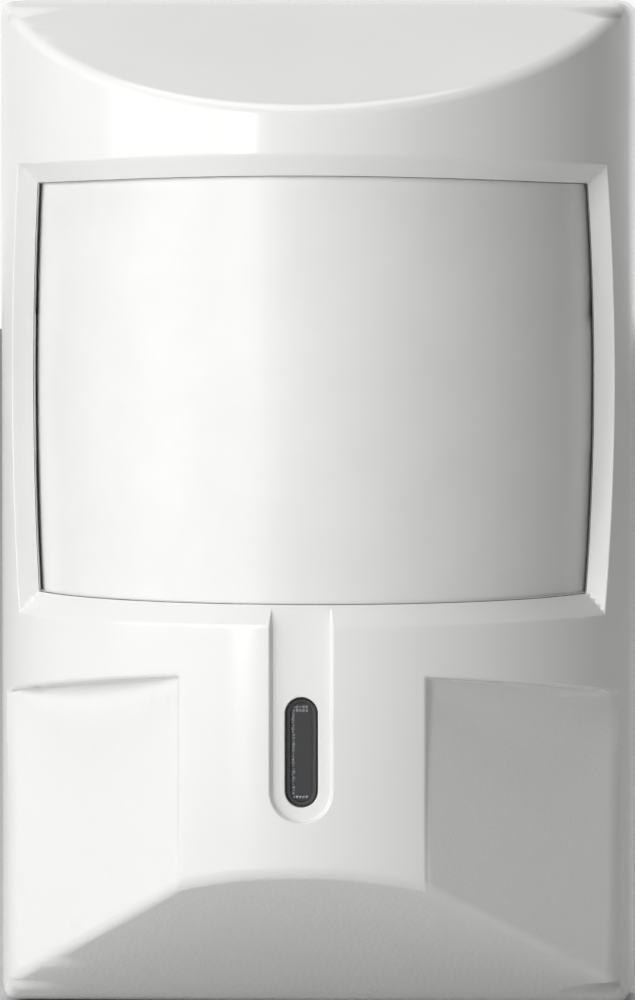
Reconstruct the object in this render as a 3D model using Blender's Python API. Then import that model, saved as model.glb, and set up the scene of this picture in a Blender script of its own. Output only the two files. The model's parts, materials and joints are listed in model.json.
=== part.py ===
"""Wall-mounted passive infrared motion sensor, as its separate moulded, optical and electronic pieces.

Frame: metres, +Z up, +X to the right, the wall at y = 0 and the front towards -Y.
The origin is the centre of the back face of the wall tray.
"""
import math

import bmesh
import bpy
from mathutils import Matrix, Vector

MM = 0.001

# ---- case, driving dimensions ---------------------------------------------------------------
BODY_WIDTH = 63.0 * MM
BODY_HEIGHT = 99.4 * MM
BODY_DEPTH = 43.0 * MM
BASE_DEPTH = 8.85 * MM
CASE_CORNER = 1.8 * MM            # corner radius seen from the front
WALL = 2.2 * MM
FRONT_BULGE = 0.5 * MM            # front radius beyond half of the width
FIT = 0.3 * MM                    # gap between pieces that touch
SMALL_FIT = 0.15 * MM             # gap around small trim and pins
WELD = 0.3 * MM                   # how far united shapes run into each other
THROUGH = 1.0 * MM                # how far a cut runs past what it cuts

# ---- front surface --------------------------------------------------------------------------
TOP_FACET_HEIGHT = 10.1 * MM
TOP_FACET_RUN = 2.3               # depth per height
BOTTOM_FACET_HEIGHT = 14.9 * MM
BOTTOM_FACET_RUN = 1.62
WINDOW_DROP = 16.7 * MM           # top of the case to top of the lens opening
WINDOW_HEIGHT = 41.5 * MM
WINDOW_SIDE_MARGIN = 3.8 * MM     # side of the case to the lens opening
WINDOW_BOW = 0.7 * MM             # how much the sides of the window bow outward
BEVEL_WIDTH = 2.1 * MM
BEVEL_DEPTH = 1.0 * MM
LIP_EDGE = 0.4 * MM               # plain edge behind the bevel
BAND_HEIGHT = 6.8 * MM            # lens opening to the ledge above the side panels
LEDGE_DRAFT = 0.15
COLUMN_HALF_WIDTH = 12.1 * MM
COLUMN_STEP = 0.9 * MM            # how far the side panels lie behind the column at the ledge
PANEL_SLOPE = 1.03
PANEL_LEAN = 0.045
RECESS_HALF_WIDTH = 3.1 * MM
RECESS_DEPTH = 0.9 * MM
SLOT_HALF_WIDTH = 1.63 * MM
SLOT_LENGTH = 10.8 * MM
SLOT_DROP = 2.2 * MM              # ledge to the top of the indicator slot
TOP_NOTCH_WIDTH = 1.2 * MM
TOP_NOTCH_DEPTH = 0.4 * MM

# ---- lens and trim --------------------------------------------------------------------------
LENS_THICKNESS = 0.7 * MM
LENS_MARGIN = 2.0 * MM            # how far the lens reaches behind the opening's edge
FRAME_THICKNESS = 1.5 * MM
FRAME_OVERLAP = 1.0 * MM          # how far the frame's opening stays outside the lens opening
FRAME_LUG = 1.6 * MM
INDICATOR_FLANGE = 1.4 * MM
INDICATOR_PLATE = 0.8 * MM
INDICATOR_SUNK = 0.35 * MM

# ---- wall tray ------------------------------------------------------------------------------
CORNER_CHAMFER = 7.0 * MM         # 45 degree faces for mounting in a room corner
LIP_THICKNESS = 1.2 * MM
LIP_REACH = 2.1 * MM
HOOK_OFFSET = 18.0 * MM
HOOK_WIDTH = 6.0 * MM
HOOK_RADIUS = 2.9 * MM            # the cover's rocking edge, about the hinge line
HOOK_CLAW = 1.1 * MM
HOOK_SKIN = 0.9 * MM
HOOK_TONGUE = 1.5 * MM
ENTRY_WIDTH = 12.4 * MM
ENTRY_HEIGHT = 8.4 * MM
CABLE_HOLE = 3.0 * MM
SEAL_FLANGE = 0.9 * MM
ENTRY_BELOW_TOP = 8.7 * MM
KNOCKOUT_RADIUS = 2.2 * MM
KNOCKOUT_SKIN = 0.9 * MM
KNOCKOUT_X = 15.0 * MM
KNOCKOUT_Z = 33.0 * MM

# ---- cover screw ----------------------------------------------------------------------------
SCREW_FROM_SEAM = 3.1 * MM
SCREW_SHANK = 1.45 * MM
SCREW_HEAD = 2.8 * MM
SCREW_HEAD_HEIGHT = 1.7 * MM
SCREW_LENGTH = 9.0 * MM
PAD_THICKNESS = 2.2 * MM
PAD_MARGIN = 2.7 * MM             # thick place beyond the screw's head, each side
PAD_REACH = 4.8 * MM
POCKET_MARGIN = 1.0 * MM
PAD_GAP = 0.45 * MM               # lets the pad rise as the cover starts to swing
TONGUE_THICKNESS = 2.6 * MM
TONGUE_HALF = 5.0 * MM

# ---- circuit board --------------------------------------------------------------------------
BOARD_WIDTH = 48.0 * MM
BOARD_THICKNESS = 1.6 * MM
BOARD_END_ROOM = 9.5 * MM         # from the inside of the case to the board, above and below
BOARD_LIFT = 3.7 * MM             # tray floor to the back of the board
BOARD_TRAVEL = 3.5 * MM           # each way
BOARD_SCREW_UP = 6.4 * MM         # from the board's lower edge
BOARD_SCREW_SHANK = 1.3 * MM
BOARD_SCREW_HEAD = 2.7 * MM
BOARD_SCREW_HEAD_HEIGHT = 1.8 * MM
BOSS_RADIUS = 3.0 * MM
BOSS_BLIND = 0.8 * MM             # how far the boss's hole runs into the floor
GUIDE_HEIGHT = 7.0 * MM
GUIDE_GRIP = 1.0 * MM             # how far a guide reaches over the board's edge
GUIDE_WALL = 1.8 * MM
GUIDE_SPREAD = 24.0 * MM          # guides above and below the middle

# ---- parts on the board ---------------------------------------------------------------------
SENSOR_CAN_RADIUS = 4.1 * MM
SENSOR_CAN_HEIGHT = 3.5 * MM
SENSOR_SHEET = 0.4 * MM
HEADER_PLATE = 0.7 * MM
SENSOR_FLANGE_RADIUS = 4.6 * MM
SENSOR_WINDOW = (4.0 * MM, 3.0 * MM)
FILTER_RIM = 0.5 * MM
FILTER_THICKNESS = 0.5 * MM
GASKET_RADIUS = 7.4 * MM
GASKET_HEIGHT = 3.6 * MM
TERMINAL_COUNT = 6
TERMINAL_PITCH = 5.2 * MM
TERMINAL_DEPTH = 8.0 * MM
TERMINAL_HEIGHT = 9.5 * MM
TERMINAL_FROM_EDGE = 3.4 * MM
TERMINAL_SCREW = 1.5 * MM
CLAMP_HALF = 1.6 * MM
CLAMP_HEIGHT = 3.6 * MM
CLAMP_LENGTH = 3.8 * MM
CLAMP_SHEET = 0.5 * MM
PIPE_RADIUS = 1.6 * MM
PIPE_COLLAR = 0.9 * MM
LED_RADIUS = 1.5 * MM
LED_HEIGHT = 3.5 * MM
LED_RIM = 0.25 * MM
LED_RAISED = 1.0 * MM             # above the middle of the indicator slot, clear of the board's screw
HOLDER_HEIGHT = 10.2 * MM
HOLDER_WALL = 0.6 * MM
TAMPER_X = 17.0 * MM
TAMPER_BODY = 3.1 * MM
TAMPER_BODY_HEIGHT = 3.5 * MM
PLUNGER_RADIUS = 1.6 * MM
PLUNGER_HEAD = 2.4 * MM
PLUNGER_HEIGHT = 7.4 * MM
PLUNGER_TRAVEL = 1.0 * MM
RELAY_SIZE = (7.2 * MM, 9.6 * MM, 15.0 * MM)
RELAY_X = -17.5 * MM
HEADER_X = 17.2 * MM
PIN_PITCH = 2.54 * MM
PIN_SIDE = 0.64 * MM
CAP_HALF = 1.2 * MM
TRIMMER_X = -16.0 * MM
TRIMMER_SIDE = 6.6 * MM
TRIMMER_HEIGHT = 4.4 * MM
TRIMMER_ROTOR = 1.9 * MM
CHIP_PITCH = 1.27 * MM

# ---- places that follow from the sizes above ------------------------------------------------
HALF_WIDTH = BODY_WIDTH / 2
TOP = BODY_HEIGHT / 2
FRONT_RADIUS = HALF_WIDTH + FRONT_BULGE
AXIS_Y = FRONT_RADIUS - BODY_DEPTH                    # centre line of the front cylinder
SEAM_Y = -(BASE_DEPTH + FIT)                          # rear edge of the cover
TOP_FACET_Z = TOP - TOP_FACET_HEIGHT
BOTTOM_FACET_Z = BOTTOM_FACET_HEIGHT - TOP
WINDOW_TOP = TOP - WINDOW_DROP
WINDOW_BOTTOM = WINDOW_TOP - WINDOW_HEIGHT
WINDOW_MIDDLE = (WINDOW_TOP + WINDOW_BOTTOM) / 2
OPENING_HALF = HALF_WIDTH - WINDOW_SIDE_MARGIN
LEDGE_Z = WINDOW_BOTTOM - BAND_HEIGHT
SLOT_TOP = LEDGE_Z - SLOT_DROP
SLOT_MIDDLE = SLOT_TOP - SLOT_LENGTH / 2
LIP_RADIUS = FRONT_RADIUS - BEVEL_DEPTH
SEAT_RADIUS = LIP_RADIUS - LIP_EDGE
LENS_RADIUS = SEAT_RADIUS - FIT
FRAME_RADIUS = LENS_RADIUS - LENS_THICKNESS - FIT
INNER_RADIUS = FRONT_RADIUS - WALL
FLOOR_Y = -WALL
BOARD_BACK = FLOOR_Y - BOARD_LIFT
BOARD_FRONT = BOARD_BACK - BOARD_THICKNESS
BOARD_TOP = TOP - WALL - BOARD_END_ROOM
BOARD_HALF = BOARD_WIDTH / 2
BOARD_SCREW_Z = BOARD_SCREW_UP - BOARD_TOP
SEAT_Y = BOARD_FRONT - FIT                            # where parts stand on the board
COVER_SCREW_Y = SEAM_Y - SCREW_FROM_SEAM
HINGE_Z = TOP
ENTRY_Z = TOP - ENTRY_BELOW_TOP
TERMINAL_TOP = BOARD_TOP - TERMINAL_FROM_EDGE
LED_Z = SLOT_MIDDLE + LED_RAISED
TAMPER_Z = SLOT_MIDDLE - 2.0 * MM
RELAY_Z = WINDOW_MIDDLE + 1.0 * MM
HEADER_Z = WINDOW_MIDDLE - 4.0 * MM
TRIMMER_Z = LEDGE_Z + 7.0 * MM

ROUND_SIDES = 24
FRONT_STEPS = 40

# ---- materials: colour, roughness, metallic -------------------------------------------------
FINISHES = {
    "cover_white": ((0.86, 0.86, 0.84), 0.3, 0.0),
    "tray_white": ((0.84, 0.84, 0.82), 0.4, 0.0),
    "lens_milk": ((0.88, 0.88, 0.86), 0.35, 0.0),
    "frame_white": ((0.8, 0.8, 0.78), 0.45, 0.0),
    "smoked": ((0.05, 0.05, 0.06), 0.15, 0.0),
    "board_green": ((0.03, 0.2, 0.09), 0.4, 0.0),
    "black_moulding": ((0.02, 0.02, 0.02), 0.45, 0.0),
    "grey_rubber": ((0.25, 0.25, 0.25), 0.8, 0.0),
    "terminal_green": ((0.05, 0.3, 0.14), 0.45, 0.0),
    "clear_acrylic": ((0.9, 0.92, 0.95), 0.1, 0.0),
    "led_red": ((0.6, 0.03, 0.02), 0.2, 0.0),
    "relay_blue": ((0.05, 0.1, 0.3), 0.4, 0.0),
    "trimmer_blue": ((0.05, 0.15, 0.5), 0.4, 0.0),
    "cap_red": ((0.5, 0.03, 0.03), 0.4, 0.0),
    "cap_yellow": ((0.8, 0.6, 0.05), 0.4, 0.0),
    "varistor_blue": ((0.08, 0.25, 0.6), 0.35, 0.0),
    "zinc_steel": ((0.6, 0.61, 0.62), 0.35, 1.0),
    "nickel": ((0.7, 0.68, 0.64), 0.25, 1.0),
    "gold_can": ((0.75, 0.62, 0.4), 0.25, 1.0),
    "brass": ((0.75, 0.55, 0.25), 0.3, 1.0),
    "aluminium": ((0.75, 0.75, 0.76), 0.3, 1.0),
    "silicon": ((0.1, 0.1, 0.12), 0.1, 0.6),
}


def clear_scene():
    for thing in list(bpy.data.objects):
        bpy.data.objects.remove(thing, do_unlink=True)


def finish(name):
    """The Principled material of this name, made once."""
    if name in bpy.data.materials:
        return bpy.data.materials[name]
    colour, roughness, metallic = FINISHES[name]
    material = bpy.data.materials.new(name)
    material.use_nodes = True
    shader = material.node_tree.nodes["Principled BSDF"]
    shader.inputs["Base Color"].default_value = (*colour, 1.0)
    shader.inputs["Roughness"].default_value = roughness
    shader.inputs["Metallic"].default_value = metallic
    return material


# ---- shapes ---------------------------------------------------------------------------------
def closed(bm):
    """Turn the faces of a closed shape outward."""
    bmesh.ops.recalc_face_normals(bm, faces=bm.faces)
    return bm


def block(low, high):
    bm = bmesh.new()
    bmesh.ops.create_cube(bm, size=1.0)
    size = Vector(high) - Vector(low)
    middle = (Vector(high) + Vector(low)) / 2
    spread = Matrix.Translation(middle) @ Matrix.Diagonal((*size, 1.0))
    bmesh.ops.transform(bm, matrix=spread, verts=bm.verts)
    return bm


def prism(outline, axis, start, end):
    """Extrude a closed 2D outline along X, Y or Z; it gives the two other coordinates in order."""
    slot = "xyz".index(axis)
    bm = bmesh.new()
    near, far = [], []
    for point in outline:
        for row, along in ((near, start), (far, end)):
            row.append(bm.verts.new((*point[:slot], along, *point[slot:])))
    bm.faces.new(near)
    bm.faces.new(far)
    for i in range(len(outline)):
        j = (i + 1) % len(outline)
        bm.faces.new((near[i], near[j], far[j], far[i]))
    return closed(bm)


def arc(centre, radius, start, end, steps):
    """Points of an arc in degrees, both ends included."""
    angles = [math.radians(start + (end - start) * i / steps) for i in range(steps + 1)]
    return [(centre[0] + radius * math.cos(a), centre[1] + radius * math.sin(a)) for a in angles]


def rounded_rectangle(half_a, half_b, radius, steps=5):
    corners = ((1, 1, 0), (-1, 1, 90), (-1, -1, 180), (1, -1, 270))
    points = []
    for sign_a, sign_b, start in corners:
        centre = (sign_a * (half_a - radius), sign_b * (half_b - radius))
        points += arc(centre, radius, start, start + 90, steps)
    return points


def stadium(centre, half_width, length, steps=8):
    """Upright slot outline with round ends."""
    rise = length / 2 - half_width
    upper = arc((centre[0], centre[1] + rise), half_width, 0, 180, steps)
    lower = arc((centre[0], centre[1] - rise), half_width, 180, 360, steps)
    return upper + lower


def turned(profile, centre, axis="y", sides=ROUND_SIDES, ring=False):
    """Solid of revolution from (radius, distance along the axis) points.

    A ring's profile is a closed loop clear of the axis; any other starts and ends on it.
    """
    bm = bmesh.new()
    rows = []
    for radius, along in profile:
        count = sides if radius > 0 else 1
        row = []
        for i in range(count):
            angle = 2 * math.pi * (i + 0.5) / sides
            a, b = radius * math.cos(angle), radius * math.sin(angle)
            offset = (a, along, b) if axis == "y" else (a, b, along)
            row.append(bm.verts.new(Vector(centre) + Vector(offset)))
        rows.append(row)
    pairs = list(zip(rows, rows[1:])) + ([(rows[-1], rows[0])] if ring else [])
    for first, second in pairs:
        for i in range(sides):
            j = (i + 1) % sides
            near = [first[k % len(first)] for k in (i, j)]
            far = [second[k % len(second)] for k in (j, i)]
            bm.faces.new(list(dict.fromkeys(near + far)))
    return closed(bm)


def rod(centre, radius, start, end, axis="y", sides=ROUND_SIDES):
    return turned([(0, start), (radius, start), (radius, end), (0, end)], centre, axis, sides)


def trimmed(bm, point, normal):
    """Cut away what lies in front of a plane, and close the cut."""
    everything = bm.verts[:] + bm.edges[:] + bm.faces[:]
    cut = bmesh.ops.bisect_plane(bm, geom=everything, plane_co=point, plane_no=normal, clear_outer=True)
    rim = [item for item in cut["geom_cut"] if isinstance(item, bmesh.types.BMEdge)]
    bmesh.ops.edgeloop_fill(bm, edges=rim)
    return closed(bm)


def joined(shapes):
    """Several separate shapes in one mesh."""
    whole = bmesh.new()
    for shape in shapes:
        mesh = bpy.data.meshes.new("shape")
        shape.to_mesh(mesh)
        shape.free()
        whole.from_mesh(mesh)
        bpy.data.meshes.remove(mesh)
    return whole


# ---- objects --------------------------------------------------------------------------------
def place(bm, name, origin=(0, 0, 0)):
    """Put a shape into the scene, with its origin at the given point."""
    mesh = bpy.data.meshes.new(name)
    bmesh.ops.translate(bm, vec=-Vector(origin), verts=bm.verts)
    bm.to_mesh(mesh)
    bm.free()
    thing = bpy.data.objects.new(name, mesh)
    thing.location = origin
    bpy.context.scene.collection.objects.link(thing)
    return thing


def node(bm, name, material, origin=(0, 0, 0), smooth=True):
    """One sub-part of the sensor."""
    thing = place(bm, name, origin)
    thing.data.materials.append(finish(material))
    if smooth:
        thing.data.shade_smooth()
        thing.data.set_sharp_from_angle(angle=math.radians(32))
    return thing


def hidden(bm, name):
    thing = place(bm, name)
    thing.hide_render = True
    thing.display_type = "WIRE"
    return thing


def combine(thing, tool, operation):
    """Unite a hidden tool with an object, or cut it away; the tool may be a bare shape."""
    if isinstance(tool, bmesh.types.BMesh):
        tool = hidden(tool, "tool_" + thing.name)
    modifier = thing.modifiers.new(operation.lower(), "BOOLEAN")
    modifier.operation = operation
    modifier.solver = "EXACT"
    modifier.object = tool


def add(thing, *tools):
    for tool in tools:
        combine(thing, tool, "UNION")


def cut(thing, *tools):
    for tool in tools:
        combine(thing, tool, "DIFFERENCE")


def soften(thing, width, segments=1):
    modifier = thing.modifiers.new("edges", "BEVEL")
    modifier.width = width
    modifier.segments = segments
    modifier.limit_method = "ANGLE"
    modifier.angle_limit = math.radians(40)


# ---- the front surface ----------------------------------------------------------------------
def front_y(x, radius=FRONT_RADIUS):
    """Where a cylinder about the front's centre line lies at x."""
    return AXIS_Y - math.sqrt(radius * radius - x * x)


def plan_outline(half, radius, back):
    """Seen from above: the front arc and the straight sides back to the seam."""
    reach = math.asin(half / radius)
    angles = [reach * (2 * i / FRONT_STEPS - 1) for i in range(FRONT_STEPS + 1)]
    front = [(radius * math.sin(a), AXIS_Y - radius * math.cos(a)) for a in angles]
    return front + [(half, back), (-half, back)]


def facet_planes(inset):
    """Point and outward normal of the sloping top and bottom planes."""
    planes = []
    for height, run, up in ((TOP_FACET_Z, TOP_FACET_RUN, 1), (BOTTOM_FACET_Z, BOTTOM_FACET_RUN, -1)):
        normal = Vector((0, -1, up * run)).normalized()
        planes.append((Vector((0, -BODY_DEPTH, height)) - inset * normal, normal))
    return planes


def ledge_plane(inset):
    """Underside of the band: material lies above it."""
    normal = Vector((0, -LEDGE_DRAFT, -1)).normalized()
    return Vector((0, -BODY_DEPTH, LEDGE_Z)) - inset * normal, normal


def panel_planes(inset):
    """The two flat side panels, which lean forward towards their lower ends."""
    start = front_y(COLUMN_HALF_WIDTH) + COLUMN_STEP
    planes = []
    for side in (1, -1):
        normal = Vector((side * PANEL_SLOPE, -1, PANEL_LEAN)).normalized()
        planes.append((Vector((side * COLUMN_HALF_WIDTH, start, LEDGE_Z)) - inset * normal, normal))
    return planes


def front_solid(name, inset, back):
    """The case in front of the seam, as a hidden solid, moved inward by inset all round."""
    half = HALF_WIDTH - inset
    high = TOP - inset
    radius = FRONT_RADIUS - inset
    top_plane, bottom_plane = facet_planes(inset)
    ledge_point, ledge_normal = ledge_plane(inset)

    upper = prism(plan_outline(half, radius, back), "z", -high, high)
    upper = trimmed(upper, *top_plane)
    upper = trimmed(upper, ledge_point, ledge_normal)

    column_half = COLUMN_HALF_WIDTH - inset
    column = prism(plan_outline(column_half, radius, back), "z", -high, high)
    below = (ledge_point - WELD * ledge_normal, -ledge_normal)
    column = trimmed(trimmed(column, *below), *bottom_plane)

    wedge = block((-half, -BODY_DEPTH, -high), (half, back, high))
    flat_front = (Vector((0, front_y(column_half, radius) + 0.05 * MM, 0)), Vector((0, -1, 0)))
    for plane in (below, bottom_plane, flat_front, *panel_planes(inset)):
        wedge = trimmed(wedge, *plane)

    solid = hidden(upper, name)
    add(solid, column, wedge)
    outline = rounded_rectangle(half, high, max(CASE_CORNER - inset, 0.6 * MM))
    clip = hidden(prism(outline, "y", -BODY_DEPTH - THROUGH, back + THROUGH), name + "_clip")
    combine(solid, clip, "INTERSECT")
    return solid


# ---- curved blocks that follow the front cylinder -------------------------------------------
def curved_block(inner, outer, columns=28, rows=8):
    """Closed solid between two curved skins.

    Each skin is (radius, half width at a height, bottom, top), with heights as plain values.
    """
    bm = bmesh.new()
    skins = []
    for radius, half_at, bottom, top in (inner, outer):
        grid = []
        for r in range(rows + 1):
            z = bottom + (top - bottom) * r / rows
            reach = math.asin(min(half_at(z) / radius, 0.999))
            line = []
            for c in range(columns + 1):
                angle = reach * (2 * c / columns - 1)
                line.append(bm.verts.new((radius * math.sin(angle), AXIS_Y - radius * math.cos(angle), z)))
            grid.append(line)
        skins.append(grid)
    for grid in skins:
        for r in range(rows):
            for c in range(columns):
                bm.faces.new((grid[r][c], grid[r][c + 1], grid[r + 1][c + 1], grid[r + 1][c]))
    near, far = skins
    for r in range(rows):
        for c in (0, columns):
            bm.faces.new((near[r][c], near[r + 1][c], far[r + 1][c], far[r][c]))
    for c in range(columns):
        for r in (0, rows):
            bm.faces.new((near[r][c], near[r][c + 1], far[r][c + 1], far[r][c]))
    return closed(bm)


def window_half(growth=0.0):
    """Half width of the lens opening at a height, bowed outward at the middle."""
    def at(z):
        offset = (z - WINDOW_MIDDLE) / (WINDOW_HEIGHT / 2)
        return OPENING_HALF + growth - WINDOW_BOW * min(offset * offset, 1.3)
    return at


def even_half(radius, growth=0.0):
    """Half width, on a smaller cylinder, of a band that ends behind the opening's edge."""
    angle = math.asin(OPENING_HALF / LIP_RADIUS) + growth / radius
    return lambda z: radius * math.sin(angle)


def sheet(radius, thickness, growth):
    """A bent sheet that reaches past the lens opening by growth on every side."""
    inner = radius - thickness
    low, high = WINDOW_BOTTOM - growth, WINDOW_TOP + growth
    outer_skin = (radius, even_half(radius, growth), low, high)
    inner_skin = (inner, even_half(inner, growth), low, high)
    return curved_block(inner_skin, outer_skin, rows=1)


def window_cutters():
    """The bevel round the opening, the opening itself, and the seat for the lens behind it."""
    slope = BEVEL_WIDTH / BEVEL_DEPTH
    beyond = THROUGH
    spread = BEVEL_WIDTH + slope * beyond
    deep = LIP_RADIUS, window_half(), WINDOW_BOTTOM, WINDOW_TOP
    wide = FRONT_RADIUS + beyond, window_half(spread), WINDOW_BOTTOM - spread, WINDOW_TOP + spread
    bevel = curved_block(deep, wide)
    back = INNER_RADIUS - THROUGH
    front = LIP_RADIUS + LIP_EDGE / 2
    opening = curved_block((back, window_half(-0.1 * MM), WINDOW_BOTTOM, WINDOW_TOP),
                           (front, window_half(), WINDOW_BOTTOM, WINDOW_TOP))
    seat = sheet(SEAT_RADIUS, SEAT_RADIUS - back, LENS_MARGIN + FIT)
    return bevel, opening, seat


# ---- cover ----------------------------------------------------------------------------------
def hook_pocket(x):
    """Pocket in the cover's top wall whose rear wall turns about the hinge line."""
    half = HOOK_WIDTH / 2 + FIT
    low_z = HINGE_Z - WALL
    high_z = HINGE_Z - HOOK_SKIN
    def on_arc(z):
        drop = HINGE_Z - z
        return (SEAM_Y - math.sqrt(HOOK_RADIUS ** 2 - drop ** 2), z)
    rear = [on_arc(low_z + (high_z - low_z) * i / 4) for i in range(5)]
    front = SEAM_Y - HOOK_RADIUS - HOOK_CLAW - 4 * FIT
    outline = [(rear[0][0], low_z - WELD), *rear, (front, high_z), (front, low_z - WELD)]
    return prism(outline, "x", x - half, x + half)


def screw_pad():
    """Thick place in the cover's bottom wall, above the screw's head."""
    low = -TOP + WALL
    half = SCREW_HEAD + PAD_MARGIN
    return block((-half, COVER_SCREW_Y - PAD_REACH, low - WELD), (half, SEAM_Y, low + PAD_THICKNESS))


def screw_pocket():
    half = SCREW_HEAD + POCKET_MARGIN
    front = COVER_SCREW_Y - half
    return block((-half, front, -TOP - THROUGH), (half, SEAM_Y + THROUGH, -TOP + WALL + 0.1 * MM))


def screw_notch():
    """Open to the rear, so that the cover swings off the screw."""
    radius = SCREW_SHANK + FIT
    round_end = arc((0, COVER_SCREW_Y), radius, 180, 360, 10)
    outline = round_end + [(radius, SEAM_Y + THROUGH), (-radius, SEAM_Y + THROUGH)]
    return prism(outline, "z", -TOP, -TOP + WALL + PAD_THICKNESS + THROUGH)


def tamper_post():
    """Rib inside the cover that holds the tamper button down at every board height."""
    panel_point, panel_normal = panel_planes(WALL / 2)[0]
    reach = PLUNGER_HEAD + BOARD_TRAVEL
    def inside_wall(x, z):
        run = panel_normal.x * (x - panel_point.x) + panel_normal.z * (z - panel_point.z)
        return panel_point.y - run / panel_normal.y
    rear = SEAT_Y - PLUNGER_HEIGHT - FIT
    half = 1.6 * MM
    left, right = TAMPER_X - half, TAMPER_X + half
    outline = [(left, rear), (right, rear),
               (right, inside_wall(right, TAMPER_Z)), (left, inside_wall(left, TAMPER_Z))]
    return prism(outline, "z", TAMPER_Z - reach, TAMPER_Z + reach)


def recess_outline():
    """U-shaped recess that runs down from the window and round the slot's lower end."""
    low_centre = SLOT_MIDDLE - SLOT_LENGTH / 2 + SLOT_HALF_WIDTH
    high = WINDOW_BOTTOM - BEVEL_WIDTH / 2
    round_end = arc((0, low_centre), RECESS_HALF_WIDTH, 180, 360, 12)
    return round_end + [(RECESS_HALF_WIDTH, high), (-RECESS_HALF_WIDTH, high)]


def make_cover():
    cover = node(block((-MM, -MM, -MM), (MM, MM, MM)), "front_cover", "cover_white")
    shell = front_solid("cover_outer", 0.0, SEAM_Y)
    hollow = front_solid("cover_hollow", WALL, SEAM_Y + THROUGH)
    add(cover, shell)
    cut(cover, block((-2 * MM, SEAM_Y, -2 * MM), (2 * MM, 2 * MM, 2 * MM)))
    cut(cover, hollow)
    add(cover, screw_pad(), tamper_post())
    cut(cover, *window_cutters())
    surface = -BODY_DEPTH
    cut(cover, prism(recess_outline(), "y", surface - THROUGH, surface + RECESS_DEPTH))
    slot = stadium((0, SLOT_MIDDLE), SLOT_HALF_WIDTH, SLOT_LENGTH)
    cut(cover, prism(slot, "y", surface - THROUGH, surface + WALL + THROUGH))
    for side in (-1, 1):
        cut(cover, hook_pocket(side * HOOK_OFFSET))
    cut(cover, screw_pocket(), screw_notch())
    notch_y = -BODY_DEPTH + TOP_FACET_HEIGHT * TOP_FACET_RUN
    cut(cover, block((-TOP_NOTCH_WIDTH / 2, notch_y - 2 * MM, TOP - TOP_NOTCH_DEPTH),
                     (TOP_NOTCH_WIDTH / 2, notch_y + 2 * MM, TOP + THROUGH)))


def make_lens():
    node(sheet(LENS_RADIUS, LENS_THICKNESS, LENS_MARGIN), "fresnel_lens", "lens_milk")
    frame = node(sheet(FRAME_RADIUS, FRAME_THICKNESS, LENS_MARGIN), "lens_frame", "frame_white")
    inner = FRAME_RADIUS - FRAME_THICKNESS - THROUGH
    outer = FRAME_RADIUS + THROUGH / 2
    low, high = WINDOW_BOTTOM + FRAME_OVERLAP, WINDOW_TOP - FRAME_OVERLAP
    shrink = -3.2 * MM
    cut(frame, curved_block((inner, even_half(inner, shrink), low, high),
                            (outer, even_half(outer, shrink), low, high), rows=1))
    for x in (-0.45 * HALF_WIDTH, 0.45 * HALF_WIDTH):
        for edge, out in ((WINDOW_TOP + LENS_MARGIN, 1), (WINDOW_BOTTOM - LENS_MARGIN, -1)):
            y = front_y(x, FRAME_RADIUS - FRAME_THICKNESS)
            z = sorted((edge - out * WELD, edge + out * FRAME_LUG))
            add(frame, block((x - 2 * MM, y, z[0]), (x + 2 * MM, y + FRAME_LUG, z[1])))


def make_indicator():
    """Smoked plate behind the slot, with a plug that fills it."""
    half = SLOT_HALF_WIDTH + INDICATOR_FLANGE
    flange_y = front_y(half, INNER_RADIUS) + FIT
    centre = (0, SLOT_MIDDLE)
    back = flange_y + INDICATOR_PLATE
    plate = prism(stadium(centre, half, SLOT_LENGTH + 2 * INDICATOR_FLANGE), "y", flange_y, back)
    window = node(plate, "indicator_window", "smoked")
    plug = stadium(centre, SLOT_HALF_WIDTH - SMALL_FIT, SLOT_LENGTH - 2 * SMALL_FIT)
    plug_front = -BODY_DEPTH + RECESS_DEPTH + INDICATOR_SUNK
    add(window, prism(plug, "y", plug_front, (flange_y + back) / 2))
    return back


# ---- wall tray ------------------------------------------------------------------------------
def tray_outline():
    """Seen from above, with the 45 degree faces at the back."""
    corner = HALF_WIDTH - CORNER_CHAMFER
    return [(-corner, 0), (corner, 0), (HALF_WIDTH, -CORNER_CHAMFER), (HALF_WIDTH, -BASE_DEPTH),
            (-HALF_WIDTH, -BASE_DEPTH), (-HALF_WIDTH, -CORNER_CHAMFER)]


def tray_hollow(lip_inside, high):
    """Space inside the tray: its sides follow the 45 degree faces at wall thickness."""
    slant = HALF_WIDTH - CORNER_CHAMFER - WALL * math.sqrt(2)
    floor_half = slant - FLOOR_Y
    knee_y = -(lip_inside - slant)
    mouth = -BASE_DEPTH - LIP_REACH - THROUGH
    outline = [(-floor_half, FLOOR_Y), (floor_half, FLOOR_Y), (lip_inside, knee_y), (lip_inside, mouth),
               (-lip_inside, mouth), (-lip_inside, knee_y)]
    return prism(outline, "z", -high, high)


def hook_tongue(x):
    """Tongue under the cover's top wall, with a claw that turns about the hinge line."""
    half = HOOK_WIDTH / 2
    under = HINGE_Z - WALL - FIT
    claw_top = HINGE_Z - HOOK_SKIN - FIT
    radius = HOOK_RADIUS + FIT
    def on_arc(z):
        drop = HINGE_Z - z
        return (SEAM_Y - math.sqrt(max(radius ** 2 - drop ** 2, 0)), z)
    rear = [on_arc(under + (claw_top - under) * i / 4) for i in range(5)]
    front = rear[-1][0] - HOOK_CLAW
    root = -BASE_DEPTH + WALL
    low = under - HOOK_TONGUE
    outline = [(root, low), (root, under), *rear, (front, claw_top), (front, low)]
    return prism(outline, "x", x - half, x + half)


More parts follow.
